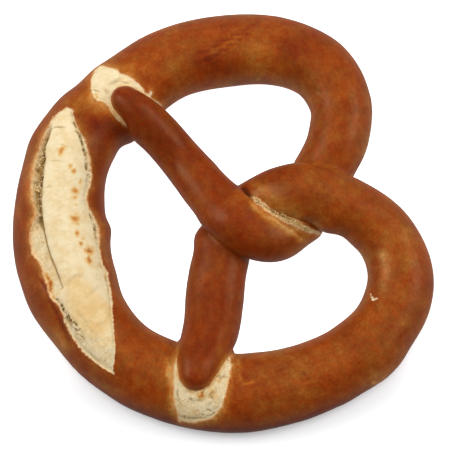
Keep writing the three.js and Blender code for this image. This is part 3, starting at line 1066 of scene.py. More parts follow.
@dataclass
class CrustMarks:
    """Lumps, wrinkles, nicks and uneven browning of the crust, with painted shade and highlights in places.

    Attributes:
        growth: how far the whole skin swells.
        arm_tone: how much darker the thin arms baked.
        arm_from, arm_fade: where along the rope that begins, and how soon it has set in.
        swellings: places where the girth isn't even.
        streaks, places: stripes and wide places of another tone; a few are painted shade and highlights.
    """

    lump_height: float = 0.25
    wrinkle_height: float = 0.06
    growth: float = 0.12
    arm_tone: float = -0.42
    arm_from: float = 212.0
    arm_fade: float = 25.0
    swellings: tuple[Swelling, ...] = each(
        Swelling,
        ("twist_corner", 1.4, -6.4, 4.5, 1.6),
        ("twist_crotch", 14.4, 38.2, 4.0, 1.1),
        ("loop_pinch", 17.4, 44.4, 4.5, -1.1),
        ("first_shoulder", -50.8, -57.0, 7.5, 0.75),
        ("arm_corner", -39.3, -18.7, 4.0, 1.5),
        ("hole_corner", -38.5, -23.8, 3.5, -0.9),
        ("twist_low", 18.8, 17.5, 8.0, 0.6),
        ("arm_right", 32.0, 2.5, 9.0, 0.45),
        ("arm_left", 30.7, -19.6, 8.0, -0.6),
        ("arm_upper", -21.5, 8.0, 7.0, 0.7),
        ("loop_low", 50.0, 69.3, 9.0, 0.4),
        ("loop_corner", 69.4, 49.5, 9.0, 0.5),
        ("patch_side", -67.2, -36.0, 5.0, -0.5),
        ("patch_top", -68.8, -24.5, 5.0, 0.5),
        ("under_loop", -16.0, 35.4, 5.0, 0.1),
        ("first_loop_end", -12.4, 63.2, 6.0, 0.4),
        ("split_end", -63.7, -41.4, 6.0, 0.4),
        ("hole_bump", -9.2, -37.0, 3.2, 0.75),
        ("hole_dip", 0.0, -37.6, 6.0, -0.6),
        ("hole_hollow", -15.0, -37.7, 5.0, -0.6),
        ("tip_corner", 48.6, -4.6, 4.0, -0.5),
        ("loop_hole_top", -40.5, 39.7, 6.0, -0.5),
        ("low_right", 74.5, 36.4, 6.0, -0.6),
        ("belly_left", 4.0, -73.5, 7.0, -0.4),
        ("belly_low", 29.0, -69.0, 14.0, -0.3),
        ("second_shoulder", 50.5, -56.5, 8.0, -0.45),
        ("second_low", 77.5, 24.5, 7.0, -0.4),
        ("second_side", 78.5, 3.0, 11.0, -0.6),
        ("first_loop_inside", -24.5, 43.5, 6.0, -0.5),
        ("loop_outside", 63.5, 58.5, 6.0, -0.5),
        ("crotch_side", 17.0, 31.4, 5.0, -0.6),
        ("beside_tear", 3.6, 26.2, 4.5, 1.1),
        ("beside_tear_low", 8.6, 31.4, 3.5, 0.8),
    )
    scars: tuple[Scar, ...] = each(
        Scar,
        ((41.5, 48.2), (43.9, 48.1), 0.2, 0.2, True),
        ((43.9, 48.1), (44.0, 49.5), 0.3, 0.2, True),
        ((42.9, 48.2), (43.9, 48.4), 0.38, 0.2, True),
        ((-37.5, 50.6), (-36.2, 52.2), 0.3, 0.4, False, 0.25),
        ((63.4, 16.4), (63.7, 16.6), 0.5, 0.7, False, 0.8),
    )
    streaks: tuple[Streak, ...] = each(
        Streak,
        (
            "tear_upper_glow",
            ((-11.5, 17.2), (-6.4, 20.0), (-2.2, 22.6), (1.6, 25.7), (4.8, 29.0), (8.5, 33.4)),
            2.5, 1.25,
        ),
        (
            "tear_lower_glow",
            ((-2.4, 13.4), (4.6, 18.6), (10.4, 24.4), (14.6, 29.8), (16.6, 33.4)),
            1.6, 1.6,
        ),
        ("crotch_glow", ((-9.4, 11.2), (-5.6, 12.8), (-2.0, 14.6), (1.6, 17.0)), 1.7, 0.9),
        # painted shade in the twist's creases: these three darken as well as sink them
        ("tear_fold", ((6.6, 22.6), (9.6, 26.0), (12.2, 28.2), (14.2, 30.2), (15.4, 32.4)), 0.6, -0.8, 0.2),
        ("crotch_groove", ((-10.2, 14.0), (-8.2, 14.6), (-6.3, 15.4), (-5.2, 16.0)), 0.8, -1.0, 0.15),
        ("tear_crease", ((4.6, 26.6), (7.6, 30.4), (9.8, 33.4), (11.4, 36.3)), 0.45, -0.7, 0.1),
        # painted shade in the first loop's two wrinkle furrows, and a painted highlight on the ridge between
        # them
        (
            "loop_wrinkle",
            ((-62.2, 10), (-62.7, 16.5), (-64.8, 25.8), (-66.6, 32.2), (-68.4, 37.4)),
            0.5, -1.1, 0.3,
        ),
        (
            "loop_wrinkle_low",
            ((-58.8, 9.6), (-59.3, 16.1), (-60.6, 19.9), (-64.1, 31), (-65.4, 35.4)),
            0.42, -0.9, 0.22,
        ),
        ("loop_wrinkle_ridge", ((-60.6, 12.5), (-62.0, 21.5), (-65.2, 30.6)), 0.6, 0.55),
        ("loop_scratch", ((-50.2, 43.8), (-45.6, 45.4), (-41, 47.5)), 0.35, 0.6),
        ("lower_scratch", ((66.8, 13.3), (66.6, 17.2), (65.9, 21.3)), 0.45, 0.6),
        ("lower_scratch_side", ((66.2, 18), (69.4, 19.8)), 0.35, 0.5),
        # painted highlight: a lighter streak where the left light glints on the second loop
        ("loop_sheen", ((25.5, 56.8), (34.5, 55.6), (43.5, 52.4)), 2.0, 0.8),
        ("outer_line", ((72.6, 39.2), (73.0, 42.9)), 0.55, 1.2),
        ("patch_glow_right", ((49.4, -4.3), (53.9, -5.2), (57.7, -6.2), (60.6, -6.8)), 0.75, 1.1),
        ("patch_tail_right", ((60.9, -6.4), (61.2, -4.0), (61.3, -1.2)), 0.7, 1.2),
        ("patch_glow_left", ((43.3, -29.4), (47.3, -30.0), (51.4, -30.8)), 1.2, 0.9),
        (
            "lip_shadow",
            ((3.5, -66.1), (9.2, -64.5), (13.6, -64.2), (18.8, -62.8), (22.2, -62.5),
             (26.2, -61.9), (31, -60.6)),
            0.8, -1.0, 0.25,
        ),
    )
    places: tuple[BakedPlace, ...] = each(
        BakedPlace,
        ("first_loop_crown", -57.0, 33.4, 6.0, 6.0, 80, 0.85),
        ("below_wrinkles", -56.4, 18.2, 8.0, 3.6, 80, -0.85),
        ("beyond_crown", -55.0, 46.0, 5.0, 6.0, -30, -0.5),
        ("second_loop_crown", 62.0, 26, 14, 5, 90, 0.3),
        ("beside_first_tip", -51.0, -27.4, 5, 3.4, 60, 0.8),
        ("between_tip_and_split", -56.5, -32.4, 5, 4, 60, 0.75),
        ("above_first_tip", -66, -8, 9, 4, 75, 0.15),
        ("first_shoulder_inside", -43.5, -26, 6, 4.5, 60, -1.0),
        ("first_shoulder_middle", -46.0, -31, 4, 4, 60, -0.5),
        ("belly_inside", -14, -38, 22, 4, -4, -0.3),
        ("belly_hole_flank", -31, -34.5, 14, 3.6, -15, -0.7),
        ("belly_outside", -14, -70, 20, 5, -6, -0.35),
        ("belly_far_outside", 27, -65, 6, 3, 20, 1.0),
        ("above_patch", -63.6, -12.6, 6, 2.4, 60, 0.7),
        ("lip_tongue", -17.3, -63.9, 3.2, 1.8, -75, 0.7),
        ("arm_two_tip", 46.0, -15.0, 7, 6, -20, -0.5),
        ("arm_one_tip", -48.5, -17.0, 8, 6, 28, -0.8),
        ("first_loop_wrinkled", -53.4, 45.5, 5, 4, 0, -0.4),
        ("arm_two_middle", 34, -9, 7, 6, -25, -0.4),
        # painted light on the lit flank of the second arm's tip, partly its lighter crust
        ("second_tip_side", 47.5, -10.6, 6, 2.2, -20, 0.9),
        ("arm_one_middle", -33, -6, 9, 5, 28, -0.65),
        ("twist_crown", -8, 32, 6, 4, 50, -0.3),
        ("twist_front", 14.4, 15.9, 6, 4, 40, 0.1),
        ("second_loop_side", 28, 62, 10, 9, 60, 0.5),
        # painted sheen, lighter and pinkish, on the outer edge of the second loop
        ("outer_shoulder", 71, 43.5, 5, 2.5, 60, 0.6),
        ("first_loop_far", -58, 58, 9, 7, -50, -0.5),
        ("second_shoulder", 55, -30, 5, 7, 30, 0.4),
    )

    def bake(self, skin: SkinPoint, relief: Relief, noise: DoughNoise) -> None:
        """Browns the crust unevenly and marks it, with painted shade and highlights in a few places.

        Args:
            skin: the points to work on.
            relief: what is changed there.
            noise: source of the lumps.
        """
        points, up = skin.points, skin.own("up")
        crust = smooth_between(relief.crumb, 0.3, -1.2)
        lumps = noise.fractal(points, 17.0, 3, 0.45)
        swirl = np.stack([skin.own("place") * 0.16, skin.own("across") * 0.9, up * 0.9], axis=1)
        wrinkles = noise.fractal(swirl, 1.5, 3, 0.6)
        relief.rise += crust * (self.lump_height * lumps + self.wrinkle_height * wrinkles) + self.growth
        from_belly = np.abs(skin.own("place"))
        on_arm = smooth_between(from_belly, self.arm_from, self.arm_from + self.arm_fade)
        relief.bake += self.arm_tone * on_arm
        for swelling in self.swellings:
            gap = np.hypot(points[:, 0] - swelling.x, points[:, 1] - swelling.y) / swelling.radius
            relief.rise += swelling.height * np.exp(-(gap**2))
        for scar in self.scars:
            gap, _ = line_distance(points[:, :2], (scar.start, scar.end))
            mark = smooth_between(gap, scar.half_width * 1.6, scar.half_width * 0.4) * (up > 0)
            relief.rise -= scar.depth * mark
            relief.torn = np.maximum(relief.torn, scar.shade * mark)
            if scar.bare:
                relief.crumb = np.where(up > 0, np.maximum(relief.crumb, scar.half_width - gap), relief.crumb)
        for streak in self.streaks:
            gap, along = line_distance(points[:, :2], streak.line)
            faded = smooth_between(along, 0.0, 0.15) * smooth_between(along, 1.0, 0.85) * (up > 0)
            mark = np.exp(-((gap / streak.half_width) ** 2)) * faded
            relief.bake += streak.tone * mark
            relief.rise -= streak.groove * mark
        for place in self.places:
            turn = math.radians(place.turn_deg)
            offset = points[:, :2] - np.array([place.x, place.y])
            along = offset @ np.array([math.cos(turn), math.sin(turn)]) / place.long_half
            aside = offset @ np.array([-math.sin(turn), math.cos(turn)]) / place.wide_half
            relief.bake += place.tone * np.exp(-(along**2 + aside**2)) * (up > -2)


# ---- Node boards: short ways to build trees ----


@dataclass
class NodeBoard:
    """Adds nodes to one tree and links them."""

    tree: bpy.types.NodeTree

    def add(self, kind: str, values: dict | None = None, **settings: object) -> bpy.types.Node:
        """Adds a node.

        Args:
            kind: the node's type.
            values: for each input's name or number, the socket to link or the value to set.
            settings: the node's own settings.

        Returns:
            The new node.
        """
        node = self.tree.nodes.new(kind)
        for name, setting in settings.items():
            setattr(node, name, setting)
        for key, value in (values or {}).items():
            if isinstance(value, Socket):
                self.tree.links.new(value, node.inputs[key])
            else:
                node.inputs[key].default_value = value
        return node

    def math(self, operation: str, *values: object, clamp: bool = False) -> Socket:
        """Result of a Math node."""
        numbers = dict(enumerate(values))
        return self.add("ShaderNodeMath", numbers, operation=operation, use_clamp=clamp).outputs[0]

    def plus(self, *values: object, clamp: bool = False) -> Socket:
        """Sum of two or more values, in the order given; the last sum may be clamped."""
        total = values[0]
        for place, value in enumerate(values[1:], 2):
            total = self.math("ADD", total, value, clamp=clamp and place == len(values))
        return total

    def times(self, *values: object, clamp: bool = False) -> Socket:
        """Product of two or more values, in the order given; the last product may be clamped."""
        total = values[0]
        for place, value in enumerate(values[1:], 2):
            total = self.math("MULTIPLY", total, value, clamp=clamp and place == len(values))
        return total

    def minus(self, value: object, less: object) -> Socket:
        """Difference of two values."""
        return self.math("SUBTRACT", value, less)

    def varied(self, texture: Socket, strength: float) -> Socket:
        """A texture from 0 to 1, made to vary round 0 with some strength."""
        return self.times(self.minus(texture, 0.5), strength)

    def vector(self, operation: str, values: dict) -> Socket:
        """Result of a Vector Math node."""
        node = self.add("ShaderNodeVectorMath", values, operation=operation)
        return node.outputs["Value" if operation in ("LENGTH", "DOT_PRODUCT") else "Vector"]

    def step(
        self, value: object, low: float, high: float, top: float = 1.0, bottom: float = 0.0
    ) -> Socket:
        """A smooth step of value from bottom at low to top at high."""
        numbers = {"Value": value, "From Min": low, "From Max": high, "To Min": bottom, "To Max": top}
        node = self.add("ShaderNodeMapRange", numbers, interpolation_type="SMOOTHSTEP")
        return node.outputs["Result"]

    def blend(self, part: object, first: object, second: object, way: str = "MIX") -> Socket:
        """Two colours blended by part."""
        node = self.add("ShaderNodeMix", {0: part, 6: first, 7: second}, data_type="RGBA", blend_type=way)
        return node.outputs[2]

    def noise(self, vector: object, scale: float, detail: float = 3.0, rough: float = 0.5) -> Socket:
        """Noise from 0 to 1 over a vector."""
        numbers = {"Vector": vector, "Scale": scale, "Detail": detail, "Roughness": rough}
        return self.add("ShaderNodeTexNoise", numbers).outputs[0]

    def noise_vector(self, vector: object, scale: float) -> Socket:
        """Noise in three directions, from -0.5 to 0.5 each."""
        texture = self.add("ShaderNodeTexNoise", {"Vector": vector, "Scale": scale, "Detail": 2.0})
        return self.vector("SUBTRACT", {0: texture.outputs["Color"], 1: (0.5, 0.5, 0.5)})

    def ramp(self, part: object, stops: Ramp) -> Socket:
        """A colour read from a ramp of stops."""
        node = self.add("ShaderNodeValToRGB", {"Fac": part})
        elements = node.color_ramp.elements
        for index, (position, colour) in enumerate(stops):
            stop = elements[index] if index < 2 else elements.new(position)
            stop.position, stop.color = position, colour
        return node.outputs["Color"]

    def attribute(self, name: str) -> Socket:
        """A number that the mesh carries at its points."""
        return self.add("ShaderNodeAttribute", attribute_name=name).outputs["Fac"]

    def dressed(self, shape: Socket, finish: bpy.types.Material) -> Socket:
        """Geometry made real and given its finish, as every tree of this object ends."""
        real = self.add("GeometryNodeRealizeInstances", {"Geometry": shape}).outputs[0]
        return self.add("GeometryNodeSetMaterial", {"Geometry": real, "Material": finish}).outputs[0]

    def bump(self, height: object, distance: float) -> Socket:
        """A normal that a height tilts."""
        values = {"Strength": 0.4, "Distance": distance, "Height": height}
        return self.add("ShaderNodeBump", values).outputs["Normal"]

    def surface(self, shader: Socket) -> None:
        """Makes a shader the material's surface."""
        self.add("ShaderNodeOutputMaterial", {"Surface": shader})


def new_tree(name: str, kind: str, given: dict[str, str], made: dict[str, str]) -> bpy.types.NodeTree:
    """An empty node tree.

    Args:
        name: what the tree is called.
        kind: the tree's type.
        given: kind of socket for each input, by its name.
        made: kind of socket for each output, by its name.

    Returns:
        The tree, with its inputs and outputs.
    """
    tree = bpy.data.node_groups.new(name, kind)
    for in_out, sockets in (("INPUT", given), ("OUTPUT", made)):
        for label, socket in sockets.items():
            tree.interface.new_socket(label, in_out=in_out, socket_type="NodeSocket" + socket)
    return tree


def new_material(name: str) -> tuple[bpy.types.Material, NodeBoard]:
    """A material without nodes, and the board for them."""
    made = bpy.data.materials.new(name)
    made.use_nodes = True
    made.node_tree.nodes.clear()
    return made, NodeBoard(made.node_tree)


# ---- Finishes ----


@dataclass(frozen=True)
class CrumbGrain:
    """Shader group for bare crumb: its colour, grain and painted shade, from how toasted, torn and open it
    is.
    """

    cream: Colour = srgb(233, 215, 177)
    straw: Colour = srgb(225, 199, 151)
    speck: Colour = srgb(208, 186, 136)
    # painted shade: line colours the cracks and fibre grooves, and torn, open crumb is multiplied towards the
    # shades
    line: Colour = srgb(198, 182, 138)
    half_shade: Colour = (0.48, 0.39, 0.25, 1.0)
    full_shade: Colour = (0.12, 0.08, 0.035, 1.0)
    toasting: Ramp = (
        (0.0, srgb(255, 255, 255)),
        (0.25, srgb(251, 238, 216)),
        (0.5, srgb(240, 206, 156)),
        (0.75, srgb(218, 156, 92)),
        (1.0, srgb(188, 112, 54)),
    )

    def group(self) -> bpy.types.NodeTree:
        """Builds the group once and returns it."""
        found = bpy.data.node_groups.get("crumb_grain")
        if found:
            return found
        marks = dict.fromkeys(("Toast", "Torn", "Coarse"), "Float")
        made = {"Color": "Color", "Height": "Float"}
        tree = new_tree("crumb_grain", "ShaderNodeTree", {"Position": "Vector"} | marks, made)
        board = NodeBoard(tree)
        given = board.add("NodeGroupInput").outputs
        mottle = board.noise(given["Position"], 260.0, 4.0, 0.6)
        grain = board.noise(given["Position"], 1300.0, 3.0, 0.65)
        pore = board.noise(given["Position"], 1500.0, 2.0, 0.5)
        drawn = board.vector("MULTIPLY", {0: given["Position"], 1: (5.0, 1.0, 1.0)})
        fibre = board.noise(drawn, 240.0, 4.0, 0.65)
        warp = board.vector("SCALE", {0: board.noise_vector(given["Position"], 420.0), "Scale": 0.0022})
        cells = board.add(
            "ShaderNodeTexVoronoi",
            {"Vector": board.vector("ADD", {0: given["Position"], 1: warp}), "Scale": 230.0},
            feature="DISTANCE_TO_EDGE",
        ).outputs["Distance"]
        where = board.step(board.noise(given["Position"], 170.0, 2.0), 0.55, 0.7)
        crack = board.times(board.step(cells, 0.05, 0.0), where)

        pale = board.blend(board.step(mottle, 0.36, 0.7), self.cream, self.straw)
        toast = board.plus(given["Toast"], board.varied(mottle, 0.2), clamp=True)
        warm = board.ramp(toast, self.toasting)
        tinted = board.blend(1.0, pale, warm, "MULTIPLY")
        # painted shade: grey lines in the cracks and in the grooves between fibres
        lined = board.blend(board.times(crack, 0.3), tinted, self.line)
        lined = board.blend(board.step(fibre, 0.5, 0.74, 0.34), lined, self.line)
        speckled = board.blend(board.step(grain, 0.36, 0.62, 0.0, 0.2), lined, self.speck)
        # painted shade in the pores of open crumb and in torn places
        pitted = board.times(board.step(pore, 0.54, 0.67), board.math("POWER", given["Coarse"], 1.6))
        dark = board.plus(board.times(given["Torn"], 0.95), board.times(pitted, 0.38), clamp=True)
        shade = board.ramp(dark, ((0.0, PLAIN_WHITE), (1.0, self.full_shade), (0.45, self.half_shade)))
        colour = board.blend(1.0, speckled, shade, "MULTIPLY")
        height = board.plus(board.times(mottle, 0.5), grain)
        height = board.minus(height, board.times(fibre, 0.8))
        height = board.minus(height, board.plus(board.times(crack, 0.7), pitted))
        board.add("NodeGroupOutput", {"Color": colour, "Height": height})
        return tree

    def on(self, board: NodeBoard, position: Socket, *marks: Socket) -> bpy.types.Node:
        """Places the group on a board, for a position and for toast, torn and coarse in that order."""
        given = dict(zip(("Position", "Toast", "Torn", "Coarse"), (position, *marks)))
        return board.add("ShaderNodeGroup", given, node_tree=self.group())


@dataclass(frozen=True)
class BakedDough:
    """Finish of the whole pretzel: satin lye crust, bare crumb where the dough opened, painted sheen and
    shade.
    """

    browning: Ramp = (
        (0.0, srgb(96, 29, 6)),
        (0.2, srgb(114, 40, 8)),
        (0.38, srgb(127, 52, 11)),
        (0.53, srgb(139, 64, 15)),
        (0.68, srgb(152, 80, 23)),
        (0.84, srgb(168, 100, 38)),
        (1.0, srgb(192, 132, 68)),
    )
    rim: Colour = srgb(216, 164, 108)
    # painted shade in holes, nicks and pits of the crust
    painted_pit_shade: Colour = srgb(66, 30, 10)
    ruddy: Colour = (1.06, 0.84, 0.62, 1.0)
    olive: Colour = (0.94, 1.15, 1.36, 1.0)
    # painted sheen on the steep flanks, partly also their paler bake: their colour is multiplied by this
    flank: Colour = (1.13, 1.5, 1.8, 1.0)
    gloss_tint: Colour = (1.0, 0.68, 0.4, 1.0)
    gloss_level: float = 0.39

    def material(self) -> bpy.types.Material:
        """Builds the material."""
        made, board = new_material("baked_dough")
        position = board.add("ShaderNodeTexCoord").outputs["Object"]
        names = ("crumb", "toast", "torn", "bake", "gilt", "coarse", "flank")
        marks = {name: board.attribute(name) for name in names}
        run = board.add("ShaderNodeAttribute", attribute_name="run").outputs["Vector"]

        fray = board.varied(board.noise(position, 900.0, 3.0, 0.6), 1.1)
        edge = board.plus(marks["crumb"], fray)
        bare = board.step(edge, -0.18, 0.2)
        frill = board.step(board.noise(position, 850.0, 3.0, 0.65), 0.38, 0.6, 1.0, 0.3)
        rim = board.times(board.step(edge, -0.75, 0.05), marks["gilt"], frill)
        glow = board.times(board.step(edge, -3.6, -0.3), marks["gilt"])

        blotch = board.noise(position, 95.0, 4.0, 0.55)
        mottle = board.noise(position, 330.0, 4.0, 0.6)
        cloud = board.noise(position, 170.0, 3.0, 0.6)
        streak = board.noise(run, 0.45, 3.0, 0.6)
        thread = board.noise(run, 2.0, 4.0, 0.7)
        freckle = board.noise(position, 1050.0, 3.0, 0.6)
        textures = (blotch, cloud, mottle, streak, thread, freckle)
        veils = [board.varied(*veil) for veil in zip(textures, (0.42, 0.36, 0.48, 0.26, 0.16, 0.46))]
        veils += [board.times(marks["bake"], 0.3), board.times(glow, 0.42)]
        crust = board.ramp(board.plus(*veils, 0.5, clamp=True), self.browning)
        hue = board.times(board.noise(position, 60.0, 4.0, 0.6), 0.6)
        for scale in (210.0, 640.0):
            hue = board.plus(hue, board.times(board.noise(position, scale, 5.0, 0.72), 0.75))
        tint = board.blend(board.step(hue, 0.9, 1.2), self.ruddy, self.olive)
        crust = board.blend(1.0, crust, tint, "MULTIPLY")
        # painted sheen: the steep flanks are lightened and paled, partly also for their paler bake
        crust = board.blend(marks["flank"], crust, board.blend(1.0, crust, self.flank, "MULTIPLY"))
        crust = board.blend(board.times(rim, 0.9), crust, self.rim)
        # painted shade: the crust is drawn towards this colour where the torn mark lies in holes, nicks and
        # pits
        crust = board.blend(board.times(marks["torn"], 0.85, clamp=True), crust, self.painted_pit_shade)

        grain = CrumbGrain().on(board, position, marks["toast"], marks["torn"], marks["coarse"])
        gilded = board.step(marks["gilt"], 0.0, 0.9, 1.0, 0.35)
        inner_rim = board.times(board.step(edge, 0.6, 0.08, 0.8), gilded, frill)
        crumb = board.blend(inner_rim, grain.outputs["Color"], self.rim)
        colour = board.blend(bare, crust, crumb)

        pucker = board.noise(position, 700.0, 4.0, 0.6)
        skin = board.plus(board.times(pucker, 0.6), board.times(mottle, 0.8))
        on_crust = board.times(skin, board.minus(1.0, bare))
        on_crumb = board.times(grain.outputs["Height"], board.times(bare, 1.5))
        roughness = board.plus(board.times(mottle, 0.16), board.step(bare, 0.0, 1.0, 0.82, 0.32))
        look = {
            "Base Color": colour,
            "Roughness": roughness,
            "Normal": board.bump(board.plus(on_crust, on_crumb), 0.00016),
            "Specular IOR Level": self.gloss_level,
            "Specular Tint": self.gloss_tint,
        }
        board.surface(board.add("ShaderNodeBsdfPrincipled", look).outputs[0])
        return made


@dataclass(frozen=True)
class LooseCrumb:
    """Finish of the loose crumbs."""

    def material(self) -> bpy.types.Material:
        """Builds the material."""
        made, board = new_material("loose_crumb")
        position = board.add("ShaderNodeTexCoord").outputs["Object"]
        toast = board.step(board.noise(position, 420.0, 2.0), 0.55, 0.85, 0.5)
        grain = CrumbGrain().on(board, position, toast)
        look = {
            "Base Color": grain.outputs["Color"],
            "Roughness": 0.85,
            "Normal": board.bump(grain.outputs["Height"], 0.0001),
            "Specular IOR Level": 0.3,
        }
        board.surface(board.add("ShaderNodeBsdfPrincipled", look).outputs[0])
        return made


# ---- Meshes ----


def new_object(name: str, data: bpy.types.ID) -> bpy.types.Object:
    """An object for a mesh, a light or a camera, in the scene and at the origin."""
    made = bpy.data.objects.new(name, data)
    bpy.context.scene.collection.objects.link(made)
    return made


def evaluated_mesh(shape: bpy.types.Object) -> bpy.types.Mesh:
    """The plain mesh that an object's modifiers give."""
    depsgraph = bpy.context.evaluated_depsgraph_get()
    depsgraph.update()
    return bpy.data.meshes.new_from_object(shape.evaluated_get(depsgraph))


def add_tree(shape: bpy.types.Object, tree: bpy.types.NodeTree, sizes: dict[str, float]) -> None:
    """Gives an object a node tree, with the tree's sizes set by their sockets' identifiers."""
    modifier = shape.modifiers.new(tree.name, "NODES")
    modifier.node_group = tree
    for item in tree.interface.items_tree:
        if item.name in sizes and item.in_out == "INPUT":
            modifier[item.identifier] = sizes[item.name]


def mesh_points(mesh: bpy.types.Mesh) -> Numbers:
    """A mesh's points in millimetres."""
    flat = np.empty(len(mesh.vertices) * 3)
    mesh.vertices.foreach_get("co", flat)
    return flat.reshape(-1, 3) / MM


def set_mesh_points(mesh: bpy.types.Mesh, points: Numbers) -> None:
    """Writes a mesh's points, given in millimetres."""
    mesh.vertices.foreach_set("co", (points * MM).ravel())
    mesh.update()


def write_attribute(mesh: bpy.types.Mesh, name: str, values: Numbers) -> None:
    """Stores a number or a vector at every point of a mesh."""
    kind, key = ("FLOAT_VECTOR", "vector") if values.ndim == 2 else ("FLOAT", "value")
    made = mesh.attributes.new(name, kind, "POINT")
    made.data.foreach_set(key, values.astype(np.float32).ravel())


@dataclass
class RopeSweep:
    """Sweeps the rope along its line with a node tree.

    Attributes:
        line: the rope's line.
        ring_every: how many samples of the line lie between rings.
        lanes: number of points round a ring.
        knead_size: distance between points of the kneaded skin.
    """

    line: RopeLine
    ring_every: int = 3
    lanes: int = 64
    knead_size: float = 1.12

    def path(self) -> bpy.types.Mesh:
        """The middle line as a mesh of edges that carries the size of each section."""
        last = len(self.line.along) - 1
        keep = np.unique(np.r_[np.arange(0, last + 1, self.ring_every), last])
        mesh = bpy.data.meshes.new("rope_path")
        edges = [(i, i + 1) for i in range(len(keep) - 1)]
        mesh.from_pydata((self.line.middle[keep] * MM).tolist(), edges, [])
        inward = np.c_[self.line.inward[keep], np.zeros(len(keep))]
        write_attribute(mesh, "inward", inward)
        write_attribute(mesh, "half_width", self.line.half_width[keep] * MM)
        write_attribute(mesh, "half_depth", self.line.half_depth[keep] * MM)
        return mesh

    def tree(self, finish: bpy.types.Material) -> bpy.types.NodeTree:
        """The tree that bends a sheet of rings and lanes round the path.

        Args:
            finish: material of the swept rope.

        Returns:
            The geometry node tree, with inputs for its rings and lanes.
        """
        given = {"Path": "Geometry", "Rings": "Int", "Lanes": "Int"}
        tree = new_tree("sweep_rope", "GeometryNodeTree", given, {"Rope": "Geometry"})
        board = NodeBoard(tree)
        given = board.add("NodeGroupInput").outputs
        columns = board.plus(given["Lanes"], 1.0)
        sheet = board.add("GeometryNodeMeshGrid", {"Vertices X": given["Rings"], "Vertices Y": columns})
        index = board.add("GeometryNodeInputIndex").outputs[0]
        ring = board.math("FLOOR", board.math("DIVIDE", board.plus(index, 0.5), columns))
        lane = board.minus(index, board.times(ring, columns))
        angle = board.times(board.math("DIVIDE", lane, given["Lanes"]), math.tau)

        def on_path(value: Socket, kind: str) -> Socket:
            """A value of the path, read at each ring's point of it."""
            values = {"Geometry": given["Path"], "Value": value, "Index": ring}
            node = board.add("GeometryNodeSampleIndex", data_type=kind, domain="POINT")
            for label, socket in values.items():
                tree.links.new(socket, node.inputs[label])
            return node.outputs["Value"]

        def carried(name: str, kind: str) -> Socket:
            """An attribute of the path, read at each ring's point of it."""
            node = board.add("GeometryNodeInputNamedAttribute", {"Name": name}, data_type=kind)
            return on_path(node.outputs["Attribute"], kind)

        middle = on_path(board.add("GeometryNodeInputPosition").outputs[0], "FLOAT_VECTOR")
        across = board.times(board.math("COSINE", angle), carried("half_width", "FLOAT"))
        up = board.times(board.math("SINE", angle), carried("half_depth", "FLOAT"))
        aside = board.vector("SCALE", {0: carried("inward", "FLOAT_VECTOR"), "Scale": across})
        raised = board.add("ShaderNodeCombineXYZ", {"Z": up}).outputs[0]
        corner = board.vector("ADD", {0: board.vector("ADD", {0: middle, 1: aside}), 1: raised})
        parts = board.add("ShaderNodeSeparateXYZ", {0: corner}).outputs
        on_table = board.math("MAXIMUM", parts["Z"], 0.0)
        spot = {"X": parts["X"], "Y": parts["Y"], "Z": on_table}
        place = board.add("ShaderNodeCombineXYZ", spot).outputs[0]
        bent = board.add("GeometryNodeSetPosition", {"Geometry": sheet.outputs["Mesh"], "Position": place})
        closed = board.add("GeometryNodeMergeByDistance", {"Geometry": bent.outputs[0], "Distance": 2e-6})
        board.add("NodeGroupOutput", {"Rope": board.dressed(closed.outputs[0], finish)})
        return tree

    def kneaded(self, finish: bpy.types.Material) -> bpy.types.Mesh:
        """The swept rope with its crossings baked together, as an even mesh."""
        path = self.path()
        rope = new_object("rope_sweep", path)
        add_tree(rope, self.tree(finish), {"Rings": len(path.vertices), "Lanes": self.lanes})
        knead = rope.modifiers.new("knead", "REMESH")
        knead.mode, knead.voxel_size, knead.use_smooth_shade = "VOXEL", self.knead_size * MM, True
        mesh = evaluated_mesh(rope)
        bpy.data.objects.remove(rope)
        return mesh


